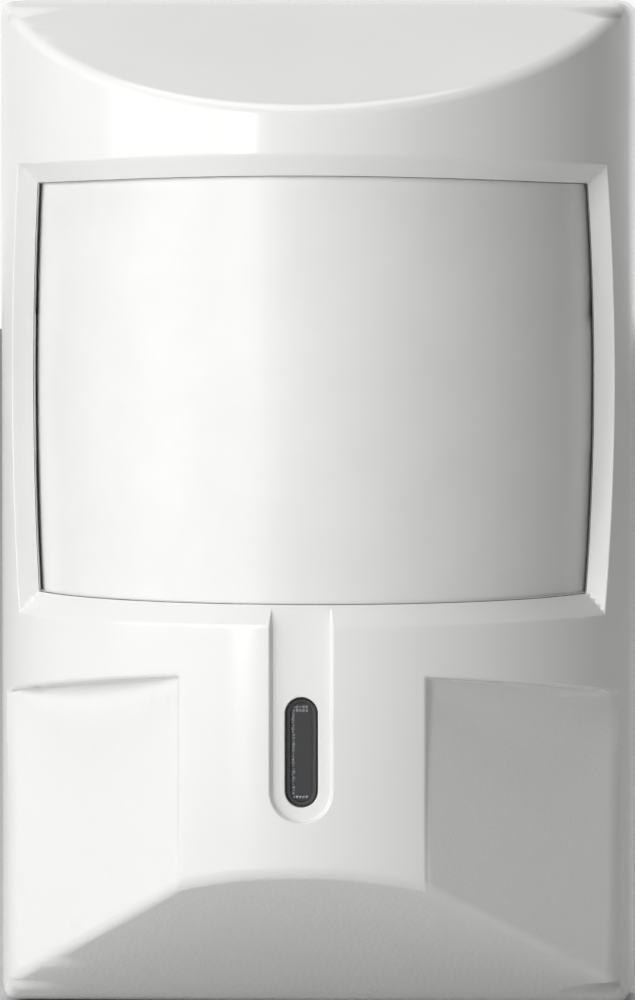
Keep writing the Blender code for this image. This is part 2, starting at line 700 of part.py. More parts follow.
def board_guide(side, z):
    """Post with a groove in which the board's edge slides."""
    inner = BOARD_HALF - GUIDE_GRIP
    outer = BOARD_HALF + GUIDE_WALL
    low, high = z - GUIDE_HEIGHT / 2, z + GUIDE_HEIGHT / 2
    front = BOARD_FRONT - FIT - GUIDE_GRIP
    groove = BOARD_HALF + FIT
    outline = [(inner, FLOOR_Y + WELD), (outer, FLOOR_Y + WELD), (outer, front), (inner, front),
               (inner, BOARD_FRONT - FIT), (groove, BOARD_FRONT - FIT),
               (groove, BOARD_BACK + FIT), (inner, BOARD_BACK + FIT)]
    return prism([(side * x, y) for x, y in outline], "z", low, high)


def make_tray():
    tray = node(prism(tray_outline(), "z", -TOP, TOP), "rear_base", "tray_white")
    clip = prism(rounded_rectangle(HALF_WIDTH, TOP, CASE_CORNER), "y", -BASE_DEPTH - THROUGH, THROUGH)
    combine(tray, clip, "INTERSECT")
    lip_half = HALF_WIDTH - WALL - FIT
    lip_high = TOP - WALL - FIT
    lip = rounded_rectangle(lip_half, lip_high, 1.0 * MM)
    add(tray, prism(lip, "y", -BASE_DEPTH - LIP_REACH, -BASE_DEPTH + WALL))
    cut(tray, tray_hollow(lip_half - LIP_THICKNESS, lip_high - LIP_THICKNESS))

    cut(tray, block((-ENTRY_WIDTH / 2, FLOOR_Y - THROUGH, ENTRY_Z - ENTRY_HEIGHT / 2),
                    (ENTRY_WIDTH / 2, THROUGH, ENTRY_Z + ENTRY_HEIGHT / 2)))
    for x in (-KNOCKOUT_X, KNOCKOUT_X):
        for z in (-KNOCKOUT_Z, KNOCKOUT_Z):
            cut(tray, rod((x, 0, z), KNOCKOUT_RADIUS, FLOOR_Y - THROUGH, -KNOCKOUT_SKIN, sides=16))

    pad_half = SCREW_HEAD + PAD_MARGIN + 2 * FIT
    cut(tray, block((-pad_half, -BASE_DEPTH - LIP_REACH - THROUGH, -TOP + WALL - FIT),
                    (pad_half, -BASE_DEPTH, -lip_high + LIP_THICKNESS + THROUGH)))
    tongue_low = -TOP + WALL + PAD_THICKNESS + PAD_GAP
    tongue_front = COVER_SCREW_Y - SCREW_HEAD
    add(tray, block((-TONGUE_HALF, tongue_front, tongue_low),
                    (TONGUE_HALF, FLOOR_Y + WELD, tongue_low + TONGUE_THICKNESS)))
    bore = (0, COVER_SCREW_Y, tongue_low)
    cut(tray, rod(bore, SCREW_SHANK + FIT, -THROUGH, TONGUE_THICKNESS + THROUGH, "z"))

    for side in (-1, 1):
        add(tray, hook_tongue(side * HOOK_OFFSET))
        for z in (-GUIDE_SPREAD, GUIDE_SPREAD):
            add(tray, board_guide(side, z))
    boss = (0, 0, BOARD_SCREW_Z)
    add(tray, rod(boss, BOSS_RADIUS, BOARD_BACK + FIT, FLOOR_Y + WELD))
    cut(tray, rod(boss, BOARD_SCREW_SHANK + SMALL_FIT, BOARD_BACK - THROUGH, FLOOR_Y + BOSS_BLIND))


def make_seal():
    """Grommet in the cable entry; the cable passes through its round hole."""
    half = (ENTRY_WIDTH / 2 - FIT, ENTRY_HEIGHT / 2 - FIT)
    def oblong(grow, low, high):
        outline = rounded_rectangle(half[0] + grow, half[1] + grow, 1.5 * MM, 4)
        return prism([(x, z + ENTRY_Z) for x, z in outline], "y", low, high)
    seal = node(oblong(0, FLOOR_Y - FIT - 0.6 * MM, -0.2 * MM), "cable_seal", "grey_rubber")
    add(seal, oblong(SEAL_FLANGE, FLOOR_Y - FIT - 1.2 * MM, FLOOR_Y - FIT))
    cut(seal, rod((0, 0, ENTRY_Z), CABLE_HOLE, FLOOR_Y - 3 * MM, THROUGH, sides=20))


# ---- screws ---------------------------------------------------------------------------------
def pan_screw(name, centre, shank, head, head_height, length, axis):
    """Pan head at the near end of its axis, with a cross recess, and the shank beyond it."""
    crown = [(0, 0), (0.45 * head, 0), (0.85 * head, 0.35 * head_height), (head, 0.75 * head_height),
             (head, head_height)]
    tip = [(shank, head_height), (shank, length - shank), (shank * 0.35, length), (0, length)]
    screw = node(turned(crown + tip, centre, axis), name, "zinc_steel", origin=centre)
    deep = 0.6 * head_height
    wide, thin = head * 0.5, head * 0.13
    middle = Vector(centre)
    for a, b in ((wide, thin), (thin, wide)):
        if axis == "y":
            low, high = Vector((-a, -THROUGH, -b)), Vector((a, deep, b))
        else:
            low, high = Vector((-a, -b, -THROUGH)), Vector((a, b, deep))
        cut(screw, block(middle + low, middle + high))


def make_screws():
    head_low = -TOP + WALL + 0.1 * MM - FIT - SCREW_HEAD_HEIGHT
    pan_screw("cover_screw", (0, COVER_SCREW_Y, head_low), SCREW_SHANK, SCREW_HEAD, SCREW_HEAD_HEIGHT,
              SCREW_LENGTH, "z")
    head_front = BOARD_FRONT - FIT - BOARD_SCREW_HEAD_HEIGHT
    reach = FLOOR_Y - head_front - 0.3 * MM
    pan_screw("board_screw", (0, head_front, BOARD_SCREW_Z), BOARD_SCREW_SHANK, BOARD_SCREW_HEAD,
              BOARD_SCREW_HEAD_HEIGHT, reach, "y")


# ---- board ----------------------------------------------------------------------------------
def make_board():
    outline = rounded_rectangle(BOARD_HALF, BOARD_TOP, 1.0 * MM, 3)
    board = node(prism(outline, "y", BOARD_FRONT, BOARD_BACK), "circuit_board", "board_green")
    slot_half = BOARD_SCREW_SHANK + FIT
    slot = stadium((0, BOARD_SCREW_Z), slot_half, 2 * (slot_half + BOARD_TRAVEL + FIT))
    cut(board, prism(slot, "y", BOARD_FRONT - THROUGH, BOARD_BACK + THROUGH))


def make_sensor():
    """Heat sensor in its round can, looking out through a filter window."""
    centre = (0, 0, WINDOW_MIDDLE)
    header_front = SEAT_Y - FIT - HEADER_PLATE
    header_back = header_front + HEADER_PLATE
    step = header_front + 0.3 * MM
    plinth = SENSOR_CAN_RADIUS - 2 * SENSOR_SHEET
    header = [(0, header_front), (plinth, header_front), (plinth, step), (SENSOR_FLANGE_RADIUS, step),
              (SENSOR_FLANGE_RADIUS, header_back), (0, header_back)]
    node(turned(header, centre), "pyro_header", "gold_can")
    back = step - SMALL_FIT
    front = back - SENSOR_CAN_HEIGHT
    inner = SENSOR_CAN_RADIUS - SENSOR_SHEET
    cup = [(0, front), (SENSOR_CAN_RADIUS - 0.3 * MM, front), (SENSOR_CAN_RADIUS, front + 0.3 * MM),
           (SENSOR_CAN_RADIUS, back - SENSOR_SHEET), (SENSOR_FLANGE_RADIUS, back - SENSOR_SHEET),
           (SENSOR_FLANGE_RADIUS, back), (inner, back), (inner, front + SENSOR_SHEET),
           (0, front + SENSOR_SHEET)]
    can = node(turned(cup, centre), "pyro_can", "gold_can")
    wide, high = SENSOR_WINDOW
    cut(can, block((-wide / 2, front - THROUGH, centre[2] - high / 2),
                   (wide / 2, front + SENSOR_SHEET + THROUGH, centre[2] + high / 2)))
    plate_front = front + SENSOR_SHEET + SMALL_FIT
    rim = FILTER_RIM
    plate = block((-wide / 2 - rim, plate_front, centre[2] - high / 2 - rim),
                  (wide / 2 + rim, plate_front + FILTER_THICKNESS, centre[2] + high / 2 + rim))
    node(plate, "pyro_filter", "silicon")
    chip_back = header_front - SMALL_FIT
    chip = block((-1.5 * MM, chip_back - 0.8 * MM, centre[2] - MM), (1.5 * MM, chip_back, centre[2] + MM))
    element = node(chip, "pyro_element", "nickel")
    cut(element, block((-0.3 * MM, chip_back - 2 * MM, centre[2] - 2 * MM),
                       (0.3 * MM, chip_back - 0.4 * MM, centre[2] + 2 * MM)))
    collar = SENSOR_FLANGE_RADIUS + FIT
    ring = [(GASKET_RADIUS, SEAT_Y), (GASKET_RADIUS, SEAT_Y - GASKET_HEIGHT + 0.6 * MM),
            (GASKET_RADIUS - 0.6 * MM, SEAT_Y - GASKET_HEIGHT), (collar + 0.5 * MM, SEAT_Y - GASKET_HEIGHT),
            (collar, SEAT_Y - GASKET_HEIGHT + 0.5 * MM), (collar, SEAT_Y)]
    node(turned(ring, centre, ring=True), "sensor_gasket", "black_moulding")


def terminal_places():
    first = -(TERMINAL_COUNT - 1) / 2 * TERMINAL_PITCH
    return [first + i * TERMINAL_PITCH for i in range(TERMINAL_COUNT)]


def make_terminals():
    """Six-way block: wires enter from above, screws face the front."""
    half = TERMINAL_COUNT * TERMINAL_PITCH / 2
    front = SEAT_Y - TERMINAL_HEIGHT
    low = TERMINAL_TOP - TERMINAL_DEPTH
    bar = block((-half, front, low), (half, SEAT_Y, TERMINAL_TOP))
    housing = node(bar, "terminal_housing", "terminal_green")
    cave_back = SEAT_Y - 1.2 * MM
    cave_front = cave_back - CLAMP_HEIGHT - 2 * FIT
    screw_z = TERMINAL_TOP - 3.4 * MM
    for number, x in enumerate(terminal_places(), 1):
        cave_half = CLAMP_HALF + FIT
        cave_low = (x - cave_half, cave_front, low + 2.2 * MM)
        cut(housing, block(cave_low, (x + cave_half, cave_back, TERMINAL_TOP + THROUGH)))
        shaft = rod((x, 0, screw_z), TERMINAL_SCREW + FIT, front - THROUGH, cave_front + WELD, sides=16)
        cut(housing, shaft)
        near, far = cave_front + FIT, cave_back - FIT
        cage = block((x - CLAMP_HALF, near, screw_z - CLAMP_LENGTH / 2),
                     (x + CLAMP_HALF, far, screw_z + CLAMP_LENGTH / 2))
        clamp = node(cage, f"terminal_clamp_{number}", "nickel")
        inside = CLAMP_HALF - CLAMP_SHEET
        cut(clamp, block((x - inside, near + CLAMP_SHEET, screw_z - CLAMP_LENGTH),
                         (x + inside, far - CLAMP_SHEET, screw_z + CLAMP_LENGTH)))
        head = front + 0.5 * MM
        shoulder = head + 1.3 * MM
        profile = [(0, head), (TERMINAL_SCREW, head), (TERMINAL_SCREW, shoulder), (0.9 * MM, shoulder),
                   (0.9 * MM, near - SMALL_FIT), (0, near - SMALL_FIT)]
        shape = turned(profile, (x, 0, screw_z), sides=16)
        screw = node(shape, f"terminal_screw_{number}", "nickel", origin=(x, head, screw_z))
        wide, thin = TERMINAL_SCREW + THROUGH, 0.25 * MM
        cut(screw, block((x - wide, head - THROUGH, screw_z - thin),
                         (x + wide, head + 0.6 * MM, screw_z + thin)))


def make_light(window_back):
    """Indicator diode on the board, and the clear rod that carries its light to the smoked window."""
    centre = (0, 0, LED_Z)
    tip = SEAT_Y - LED_HEIGHT
    shoulder = tip + LED_RADIUS
    dome = [(LED_RADIUS * math.sin(a), shoulder - LED_RADIUS * math.cos(a))
            for a in [math.radians(d) for d in (0, 22, 45, 67, 90)]]
    rim = LED_RADIUS + LED_RIM
    led = [(0, tip), *dome[1:], (LED_RADIUS, SEAT_Y - 0.8 * MM), (rim, SEAT_Y - 0.8 * MM), (rim, SEAT_Y),
           (0, SEAT_Y)]
    node(turned(led, centre, sides=20), "status_led", "led_red")
    bore = rim + SMALL_FIT
    holder_front = SEAT_Y - HOLDER_HEIGHT
    foot = bore + 2 * HOLDER_WALL
    neck = bore + HOLDER_WALL
    foot_front = SEAT_Y - 1.4 * MM
    ring = [(foot, SEAT_Y), (foot, foot_front), (neck, foot_front), (neck, holder_front),
            (bore, holder_front), (bore, SEAT_Y)]
    node(turned(ring, centre, sides=20, ring=True), "light_pipe_holder", "black_moulding")
    pipe_back = tip - FIT
    pipe_front = window_back + FIT
    collar_back = holder_front - SMALL_FIT
    pipe = [(0, pipe_front), (PIPE_RADIUS - 0.3 * MM, pipe_front), (PIPE_RADIUS, pipe_front + 0.3 * MM),
            (PIPE_RADIUS, collar_back - PIPE_COLLAR), (PIPE_RADIUS + PIPE_COLLAR, collar_back - PIPE_COLLAR),
            (PIPE_RADIUS + PIPE_COLLAR, collar_back), (PIPE_RADIUS, collar_back), (PIPE_RADIUS, pipe_back),
            (0, pipe_back)]
    node(turned(pipe, centre, sides=20), "light_pipe", "clear_acrylic")


def coil(centre, radius, wire, start, end, turns, sides=6, per_turn=14):
    """Closed wire coil along Y."""
    bm = bmesh.new()
    rows = []
    steps = int(turns * per_turn)
    for i in range(steps + 1):
        angle = 2 * math.pi * turns * i / steps
        along = start + (end - start) * i / steps
        outward = Vector((math.cos(angle), 0, math.sin(angle)))
        middle = Vector(centre) + radius * outward + Vector((0, along, 0))
        row = []
        for k in range(sides):
            turn = 2 * math.pi * k / sides
            spoke = math.cos(turn) * outward + math.sin(turn) * Vector((0, 1, 0))
            row.append(bm.verts.new(middle + wire * spoke))
        rows.append(row)
    for first, second in zip(rows, rows[1:]):
        for k in range(sides):
            j = (k + 1) % sides
            bm.faces.new((first[k], first[j], second[j], second[k]))
    bm.faces.new(rows[0])
    bm.faces.new(rows[-1])
    return closed(bm)


def make_tamper():
    """Button that the closed cover holds down, with its return spring round the stem."""
    centre = (TAMPER_X, 0, TAMPER_Z)
    body_front = SEAT_Y - TAMPER_BODY_HEIGHT
    half = TAMPER_BODY
    case = block((TAMPER_X - half, body_front, TAMPER_Z - half), (TAMPER_X + half, SEAT_Y, TAMPER_Z + half))
    body = node(case, "tamper_body", "black_moulding")
    bore_back = SEAT_Y - 0.7 * MM
    cut(body, rod(centre, PLUNGER_RADIUS + FIT, body_front - THROUGH, bore_back, sides=20))
    head_front = SEAT_Y - PLUNGER_HEIGHT
    stem_back = bore_back - FIT - PLUNGER_TRAVEL
    head_back = head_front + 1.2 * MM
    stem = [(0, head_front), (PLUNGER_HEAD - 0.4 * MM, head_front), (PLUNGER_HEAD, head_front + 0.4 * MM),
            (PLUNGER_HEAD, head_back), (PLUNGER_RADIUS, head_back), (PLUNGER_RADIUS, stem_back),
            (0, stem_back)]
    origin = (TAMPER_X, head_front, TAMPER_Z)
    node(turned(stem, centre, sides=20), "tamper_plunger", "black_moulding", origin=origin)
    wire = 0.16 * MM
    gap = wire + 0.1 * MM
    spring = coil(centre, PLUNGER_RADIUS + 0.4 * MM, wire, body_front - gap, head_back + gap, 4)
    node(spring, "tamper_spring", "zinc_steel")


def make_relay():
    wide, tall, long = RELAY_SIZE
    base = 1.2 * MM
    low = (RELAY_X - wide / 2, SEAT_Y - base, RELAY_Z - long / 2)
    high = (RELAY_X + wide / 2, SEAT_Y, RELAY_Z + long / 2)
    node(block(low, high), "relay_base", "black_moulding")
    box = block((low[0], SEAT_Y - tall, low[2]), (high[0], SEAT_Y - base - SMALL_FIT, high[2]))
    case = node(box, "relay_case", "relay_blue")
    soften(case, 0.5 * MM, 2)


def make_header():
    """Two pairs of pins, each pair bridged by a pull-off cap."""
    base_front = SEAT_Y - 2.5 * MM
    rows = (-1.2 * PIN_PITCH, 1.2 * PIN_PITCH)
    columns = (HEADER_X - PIN_PITCH / 2, HEADER_X + PIN_PITCH / 2)
    half_x, half_z = PIN_PITCH + 0.2 * MM, 1.7 * PIN_PITCH
    low = (HEADER_X - half_x, base_front, HEADER_Z - half_z)
    header = node(block(low, (HEADER_X + half_x, SEAT_Y, HEADER_Z + half_z)), "pin_header", "black_moulding")
    side = PIN_SIDE / 2
    pin_front = base_front - 6.0 * MM
    for row in rows:
        for x in columns:
            z = HEADER_Z + row
            add(header, block((x - side, pin_front, z - side), (x + side, base_front + WELD, z + side)))
    hole = side + SMALL_FIT
    cap_back = base_front - FIT
    cap_front = cap_back - 6.4 * MM
    cap_half = half_x - 0.1 * MM
    caps = (("jumper_cap_pulse", rows[1], "cap_red"), ("jumper_cap_led", rows[0], "cap_yellow"))
    for name, row, material in caps:
        z = HEADER_Z + row
        shape = block((HEADER_X - cap_half, cap_front, z - CAP_HALF),
                      (HEADER_X + cap_half, cap_back, z + CAP_HALF))
        cap = node(shape, name, material, origin=(HEADER_X, cap_back, z))
        for x in columns:
            cut(cap, block((x - hole, cap_front + 0.2 * MM, z - hole),
                           (x + hole, cap_back + THROUGH, z + hole)))


def make_trimmer():
    half = TRIMMER_SIDE / 2
    front = SEAT_Y - TRIMMER_HEIGHT
    centre = (TRIMMER_X, 0, TRIMMER_Z)
    case = block((TRIMMER_X - half, front, TRIMMER_Z - half), (TRIMMER_X + half, SEAT_Y, TRIMMER_Z + half))
    body = node(case, "trimmer_body", "trimmer_blue")
    cut(body, rod(centre, TRIMMER_ROTOR + FIT, front - THROUGH, front + 1.6 * MM, sides=20))
    rotor_front = front - 0.3 * MM
    rotor_back = front + 1.6 * MM - FIT
    disc = rod(centre, TRIMMER_ROTOR, rotor_front, rotor_back, sides=20)
    rotor = node(disc, "trimmer_rotor", "brass", origin=(TRIMMER_X, rotor_front, TRIMMER_Z))
    long, thin = 1.4 * MM, 0.3 * MM
    slot_back = rotor_front + 0.7 * MM
    for a, b in ((long, thin), (thin, long)):
        cut(rotor, block((TRIMMER_X - a, rotor_front - THROUGH, TRIMMER_Z - b),
                         (TRIMMER_X + a, slot_back, TRIMMER_Z + b)))


def gull_leads(x_middle, z_middle, half_body, count, pitch):
    """Bent leads along both long sides of a chip, each one a single bent strip that starts in the body."""
    leads = []
    foot, knee, top = SEAT_Y, SEAT_Y - 0.2 * MM, SEAT_Y - 1.1 * MM
    for side in (-1, 1):
        root = half_body - WELD
        bend, shin, toe = half_body + 0.5 * MM, half_body + 0.7 * MM, half_body + 1.5 * MM
        outline = [(root, top), (bend + 0.1 * MM, top), (shin + 0.1 * MM, knee), (toe, knee), (toe, foot),
                   (shin - 0.1 * MM, foot), (bend - 0.1 * MM, top + 0.2 * MM), (root, top + 0.2 * MM)]
        outline = [(x_middle + side * x, y) for x, y in outline]
        for i in range(count):
            z = z_middle + (i - (count - 1) / 2) * pitch
            leads.append(prism(outline, "z", z - 0.2 * MM, z + 0.2 * MM))
    return joined(leads)


def make_chips():
    chips = (("microcontroller", -4.0 * MM, LEDGE_Z + 6.5 * MM, 3.7 * MM, 5.2 * MM, 8),
             ("amplifier_chip", 13.6 * MM, WINDOW_MIDDLE + 6.0 * MM, 2.0 * MM, 4.3 * MM, 7))
    for name, x, z, half_x, half_z, count in chips:
        low = (x - half_x, SEAT_Y - 2.2 * MM, z - half_z)
        high = (x + half_x, SEAT_Y - 0.1 * MM, z + half_z)
        body = node(block(low, high), name, "black_moulding")
        soften(body, 0.2 * MM)
        add(body, gull_leads(x, z, half_x, count, CHIP_PITCH))


def make_capacitors():
    """Upright cans with a rolled groove near the board."""
    base_z = -BOARD_TOP
    places = (("capacitor_1", -17.5 * MM, base_z + 11.0 * MM, 3.1 * MM, 7.5 * MM),
              ("capacitor_2", -9.5 * MM, base_z + 8.0 * MM, 2.5 * MM, 6.5 * MM),
              ("capacitor_3", 10.0 * MM, base_z + 8.0 * MM, 2.5 * MM, 6.5 * MM))
    for name, x, z, radius, height in places:
        front = SEAT_Y - height
        neck = radius - 0.3 * MM
        profile = [(0, front), (neck, front), (radius, front + 0.3 * MM), (radius, SEAT_Y - 1.6 * MM),
                   (neck, SEAT_Y - 1.3 * MM), (radius, SEAT_Y - 1.0 * MM), (radius, SEAT_Y), (0, SEAT_Y)]
        node(turned(profile, (x, 0, z)), name, "aluminium")


def make_small_parts():
    z = LEDGE_Z - 1.0 * MM
    flat = 1.3 * MM
    half_round = arc((-17.0 * MM, z), 2.3 * MM, -35, 215, 14)
    node(prism(half_round, "y", SEAT_Y - 4.6 * MM, SEAT_Y), "voltage_regulator", "black_moulding")
    oval = rounded_rectangle(1.8 * MM, 5.0 * MM, 1.7 * MM, 4)
    oval = [(10.2 * MM + x, LEDGE_Z + 6.0 * MM + z) for x, z in oval]
    node(prism(oval, "y", SEAT_Y - 3.4 * MM, SEAT_Y), "crystal_can", "nickel")
    disc = [(0, -flat), (2.6 * MM, -flat), (3.4 * MM, -0.6 * flat), (3.4 * MM, 0.6 * flat), (2.6 * MM, flat),
            (0, flat)]
    disc_centre = (19.5 * MM, SEAT_Y - 3.6 * MM, TERMINAL_TOP - 4.0 * MM)
    node(turned(disc, disc_centre, "z", 20), "varistor", "varistor_blue")


def build():
    clear_scene()
    make_cover()
    make_lens()
    window_back = make_indicator()
    make_tray()
    make_seal()
    make_screws()
    make_board()
    make_sensor()
    make_terminals()
    make_light(window_back)
    make_tamper()
    make_relay()
    make_header()
    make_trimmer()
    make_chips()
    make_capacitors()
    make_small_parts()


build()
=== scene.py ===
"""Looks of the wall-mounted motion sensor: detailed skins, materials, floor, lights and camera."""
import json
import math

import bpy
import numpy as np
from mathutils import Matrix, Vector


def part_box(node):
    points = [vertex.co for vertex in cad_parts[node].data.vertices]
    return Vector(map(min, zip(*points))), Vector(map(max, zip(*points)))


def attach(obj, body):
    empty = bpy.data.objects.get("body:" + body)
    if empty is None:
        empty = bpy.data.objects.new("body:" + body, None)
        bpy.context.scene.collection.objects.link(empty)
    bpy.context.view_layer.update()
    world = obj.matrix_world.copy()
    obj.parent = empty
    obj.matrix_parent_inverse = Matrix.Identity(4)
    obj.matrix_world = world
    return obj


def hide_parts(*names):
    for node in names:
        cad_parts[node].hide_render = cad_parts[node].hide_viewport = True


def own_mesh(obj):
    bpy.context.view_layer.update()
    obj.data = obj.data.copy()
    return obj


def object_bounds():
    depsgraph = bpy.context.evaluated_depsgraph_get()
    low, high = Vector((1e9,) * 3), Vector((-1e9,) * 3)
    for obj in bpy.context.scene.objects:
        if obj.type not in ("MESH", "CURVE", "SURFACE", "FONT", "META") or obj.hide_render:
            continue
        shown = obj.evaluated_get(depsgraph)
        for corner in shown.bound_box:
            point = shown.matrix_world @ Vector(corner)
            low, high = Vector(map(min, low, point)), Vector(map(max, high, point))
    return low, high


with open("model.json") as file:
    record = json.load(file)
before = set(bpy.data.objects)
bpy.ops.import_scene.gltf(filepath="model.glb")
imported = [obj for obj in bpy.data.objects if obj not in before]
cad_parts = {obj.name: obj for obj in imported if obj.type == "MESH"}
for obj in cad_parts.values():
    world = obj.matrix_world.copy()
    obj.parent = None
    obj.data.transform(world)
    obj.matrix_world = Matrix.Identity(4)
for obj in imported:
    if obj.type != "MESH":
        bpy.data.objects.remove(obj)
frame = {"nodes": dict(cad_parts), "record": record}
cad_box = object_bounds()

MM = 0.001

# ---- sizes of the cover, in millimetres, as the CAD model has them ----
cover_low, cover_high = [[c / MM for c in corner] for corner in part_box("front_cover")]
HALF_WIDTH = (cover_high[0] - cover_low[0]) / 2
TOP = cover_high[2]
FRONT_Y = cover_low[1]
SEAM_Y = cover_high[1]
FRONT_RADIUS = HALF_WIDTH + 0.5
AXIS_Y = FRONT_Y + FRONT_RADIUS
WALL = 2.2
CASE_CORNER = 1.8
LEAST_CORNER = 0.6
TOP_FACET_Z = TOP - 10.1
TOP_FACET_RUN = 2.3
BOTTOM_FACET_Z = 14.9 - TOP
BOTTOM_FACET_RUN = 1.62
WINDOW_TOP = TOP - 16.7
WINDOW_BOTTOM = WINDOW_TOP - 41.5
WINDOW_MIDDLE = (WINDOW_TOP + WINDOW_BOTTOM) / 2
WINDOW_HALF_HEIGHT = (WINDOW_TOP - WINDOW_BOTTOM) / 2
OPENING_HALF = HALF_WIDTH - 3.8
WINDOW_BOW = 0.7
BEVEL_WIDTH = 2.1
BEVEL_DEPTH = 1.0
WINDOW_TOP_BOW = 1.25
LIP_RADIUS = 29.1  # the lens's round, about its own upright axis
LIP_AXIS_Y = FRONT_Y + BEVEL_DEPTH + LIP_RADIUS
SEAT_RADIUS = LIP_RADIUS - 0.45
LEDGE_Z = WINDOW_BOTTOM - 6.8
LEDGE_DRAFT = 0.15
COLUMN_HALF = 12.1
COLUMN_STEP = 0.9
PANEL_SLOPE = 1.03
PANEL_LEAN = 0.045
RECESS_HALF = 3.1
RECESS_DEPTH = 0.9
RECESS_DRAFT = 0.24
SLOT_HALF = 1.63
SLOT_LENGTH = 10.8
SLOT_TOP = LEDGE_Z - 2.2
SLOT_HIGH = SLOT_TOP - SLOT_HALF  # centres of the slot's two round ends
SLOT_LOW = SLOT_TOP - SLOT_LENGTH + SLOT_HALF
RECESS_FLOOR = FRONT_Y + RECESS_DEPTH
SLOT_DRAFT = 0.07
SLOT_DEPTH = 2.4
PANEL_START = AXIS_Y - math.sqrt(FRONT_RADIUS ** 2 - COLUMN_HALF ** 2) + COLUMN_STEP

# roundings of the cover's edges
LEDGE_ROUND = 0.25
COLUMN_ROUND = 0.12
PANEL_ROUND = 0.32  # round front to ledge, column and panels
TOP_FACET_ROUND = 0.9
BOTTOM_FACET_ROUND = 0.8
OUTLINE_ROUND = 0.55
BEVEL_ROUND = 0.1
RECESS_ROUND = 0.12
SLOT_ROUND = 0.08

# lens and the holder behind it
LENS_GAP = 0.62  # from the lip's round back to the lens
LENS_THICK = 0.7
LENS_HALF = 28.0
LENS_OVERLAP = 1.8  # above and below the opening
HOLDER_GAP = 1.0
HOLDER_THICK = 1.3
HOLDER_HALF = 27.2
HOLDER_OPENING_HALF = 24.2


# ---- meshes ----
def link(name, mesh):
    thing = bpy.data.objects.new(name, mesh)
    bpy.context.scene.collection.objects.link(thing)
    return thing


def from_lists(name, points, faces, materials, indices=None, normals=None):
    """Object from points in millimetres and faces; normals has one vector for each face corner."""
    mesh = bpy.data.meshes.new(name)
    mesh.from_pydata([tuple(float(c) * MM for c in p) for p in points], [], faces)
    for material in materials:
        mesh.materials.append(material)
    if indices is not None:
        mesh.polygons.foreach_set("material_index", indices)
    mesh.polygons.foreach_set("use_smooth", [True] * len(mesh.polygons))
    if normals is not None:
        mesh.normals_split_custom_set([tuple(float(c) for c in n) for n in normals])
    mesh.update()
    return link(name, mesh)


# ---- the cover's surface as a field: below zero inside ----
def round_max(a, b, r):
    """Intersection of two solids with a rounded edge."""
    return np.minimum(np.maximum(a, b), -r) + np.hypot(np.maximum(a + r, 0), np.maximum(b + r, 0))


def round_min(a, b, r):
    return -round_max(-a, -b, r)


def window_half(z):
    offset = (z - WINDOW_MIDDLE) / WINDOW_HALF_HEIGHT
    return OPENING_HALF - WINDOW_BOW * np.minimum(offset * offset, 1.3)


def window_drop(x):
    """How far the opening's upper edge bows down towards its ends."""
    return WINDOW_TOP_BOW * (x / OPENING_HALF) ** 2


def window_distance(x, z):
    """Distance outside the lens opening, with mitred corners."""
    upright = np.maximum(z - WINDOW_TOP + window_drop(x), WINDOW_BOTTOM - z)
    return np.maximum(np.abs(x) - window_half(z), upright)


def arc_y(x, radius, axis_y):
    return axis_y - np.sqrt(np.maximum(radius ** 2 - x * x, 1.0))


def bevel_y(x, z):
    """The bevel: straight lines from the lens opening's edge out to the front surface."""
    t = np.clip(window_distance(x, z) / BEVEL_WIDTH, -0.5, 3.0)
    fan = BEVEL_WIDTH / OPENING_HALF
    inner_x = x / (1 + fan * t)
    inner = arc_y(inner_x, LIP_RADIUS, LIP_AXIS_Y)
    outer = arc_y(inner_x * (1 + fan), FRONT_RADIUS, AXIS_Y)
    return inner + t * (outer - inner)


def slot_distance(x, z, half, high):
    """Distance outside an upright slot whose upper round end has its centre at high."""
    return np.hypot(x, z - np.clip(z, SLOT_LOW, high)) - half


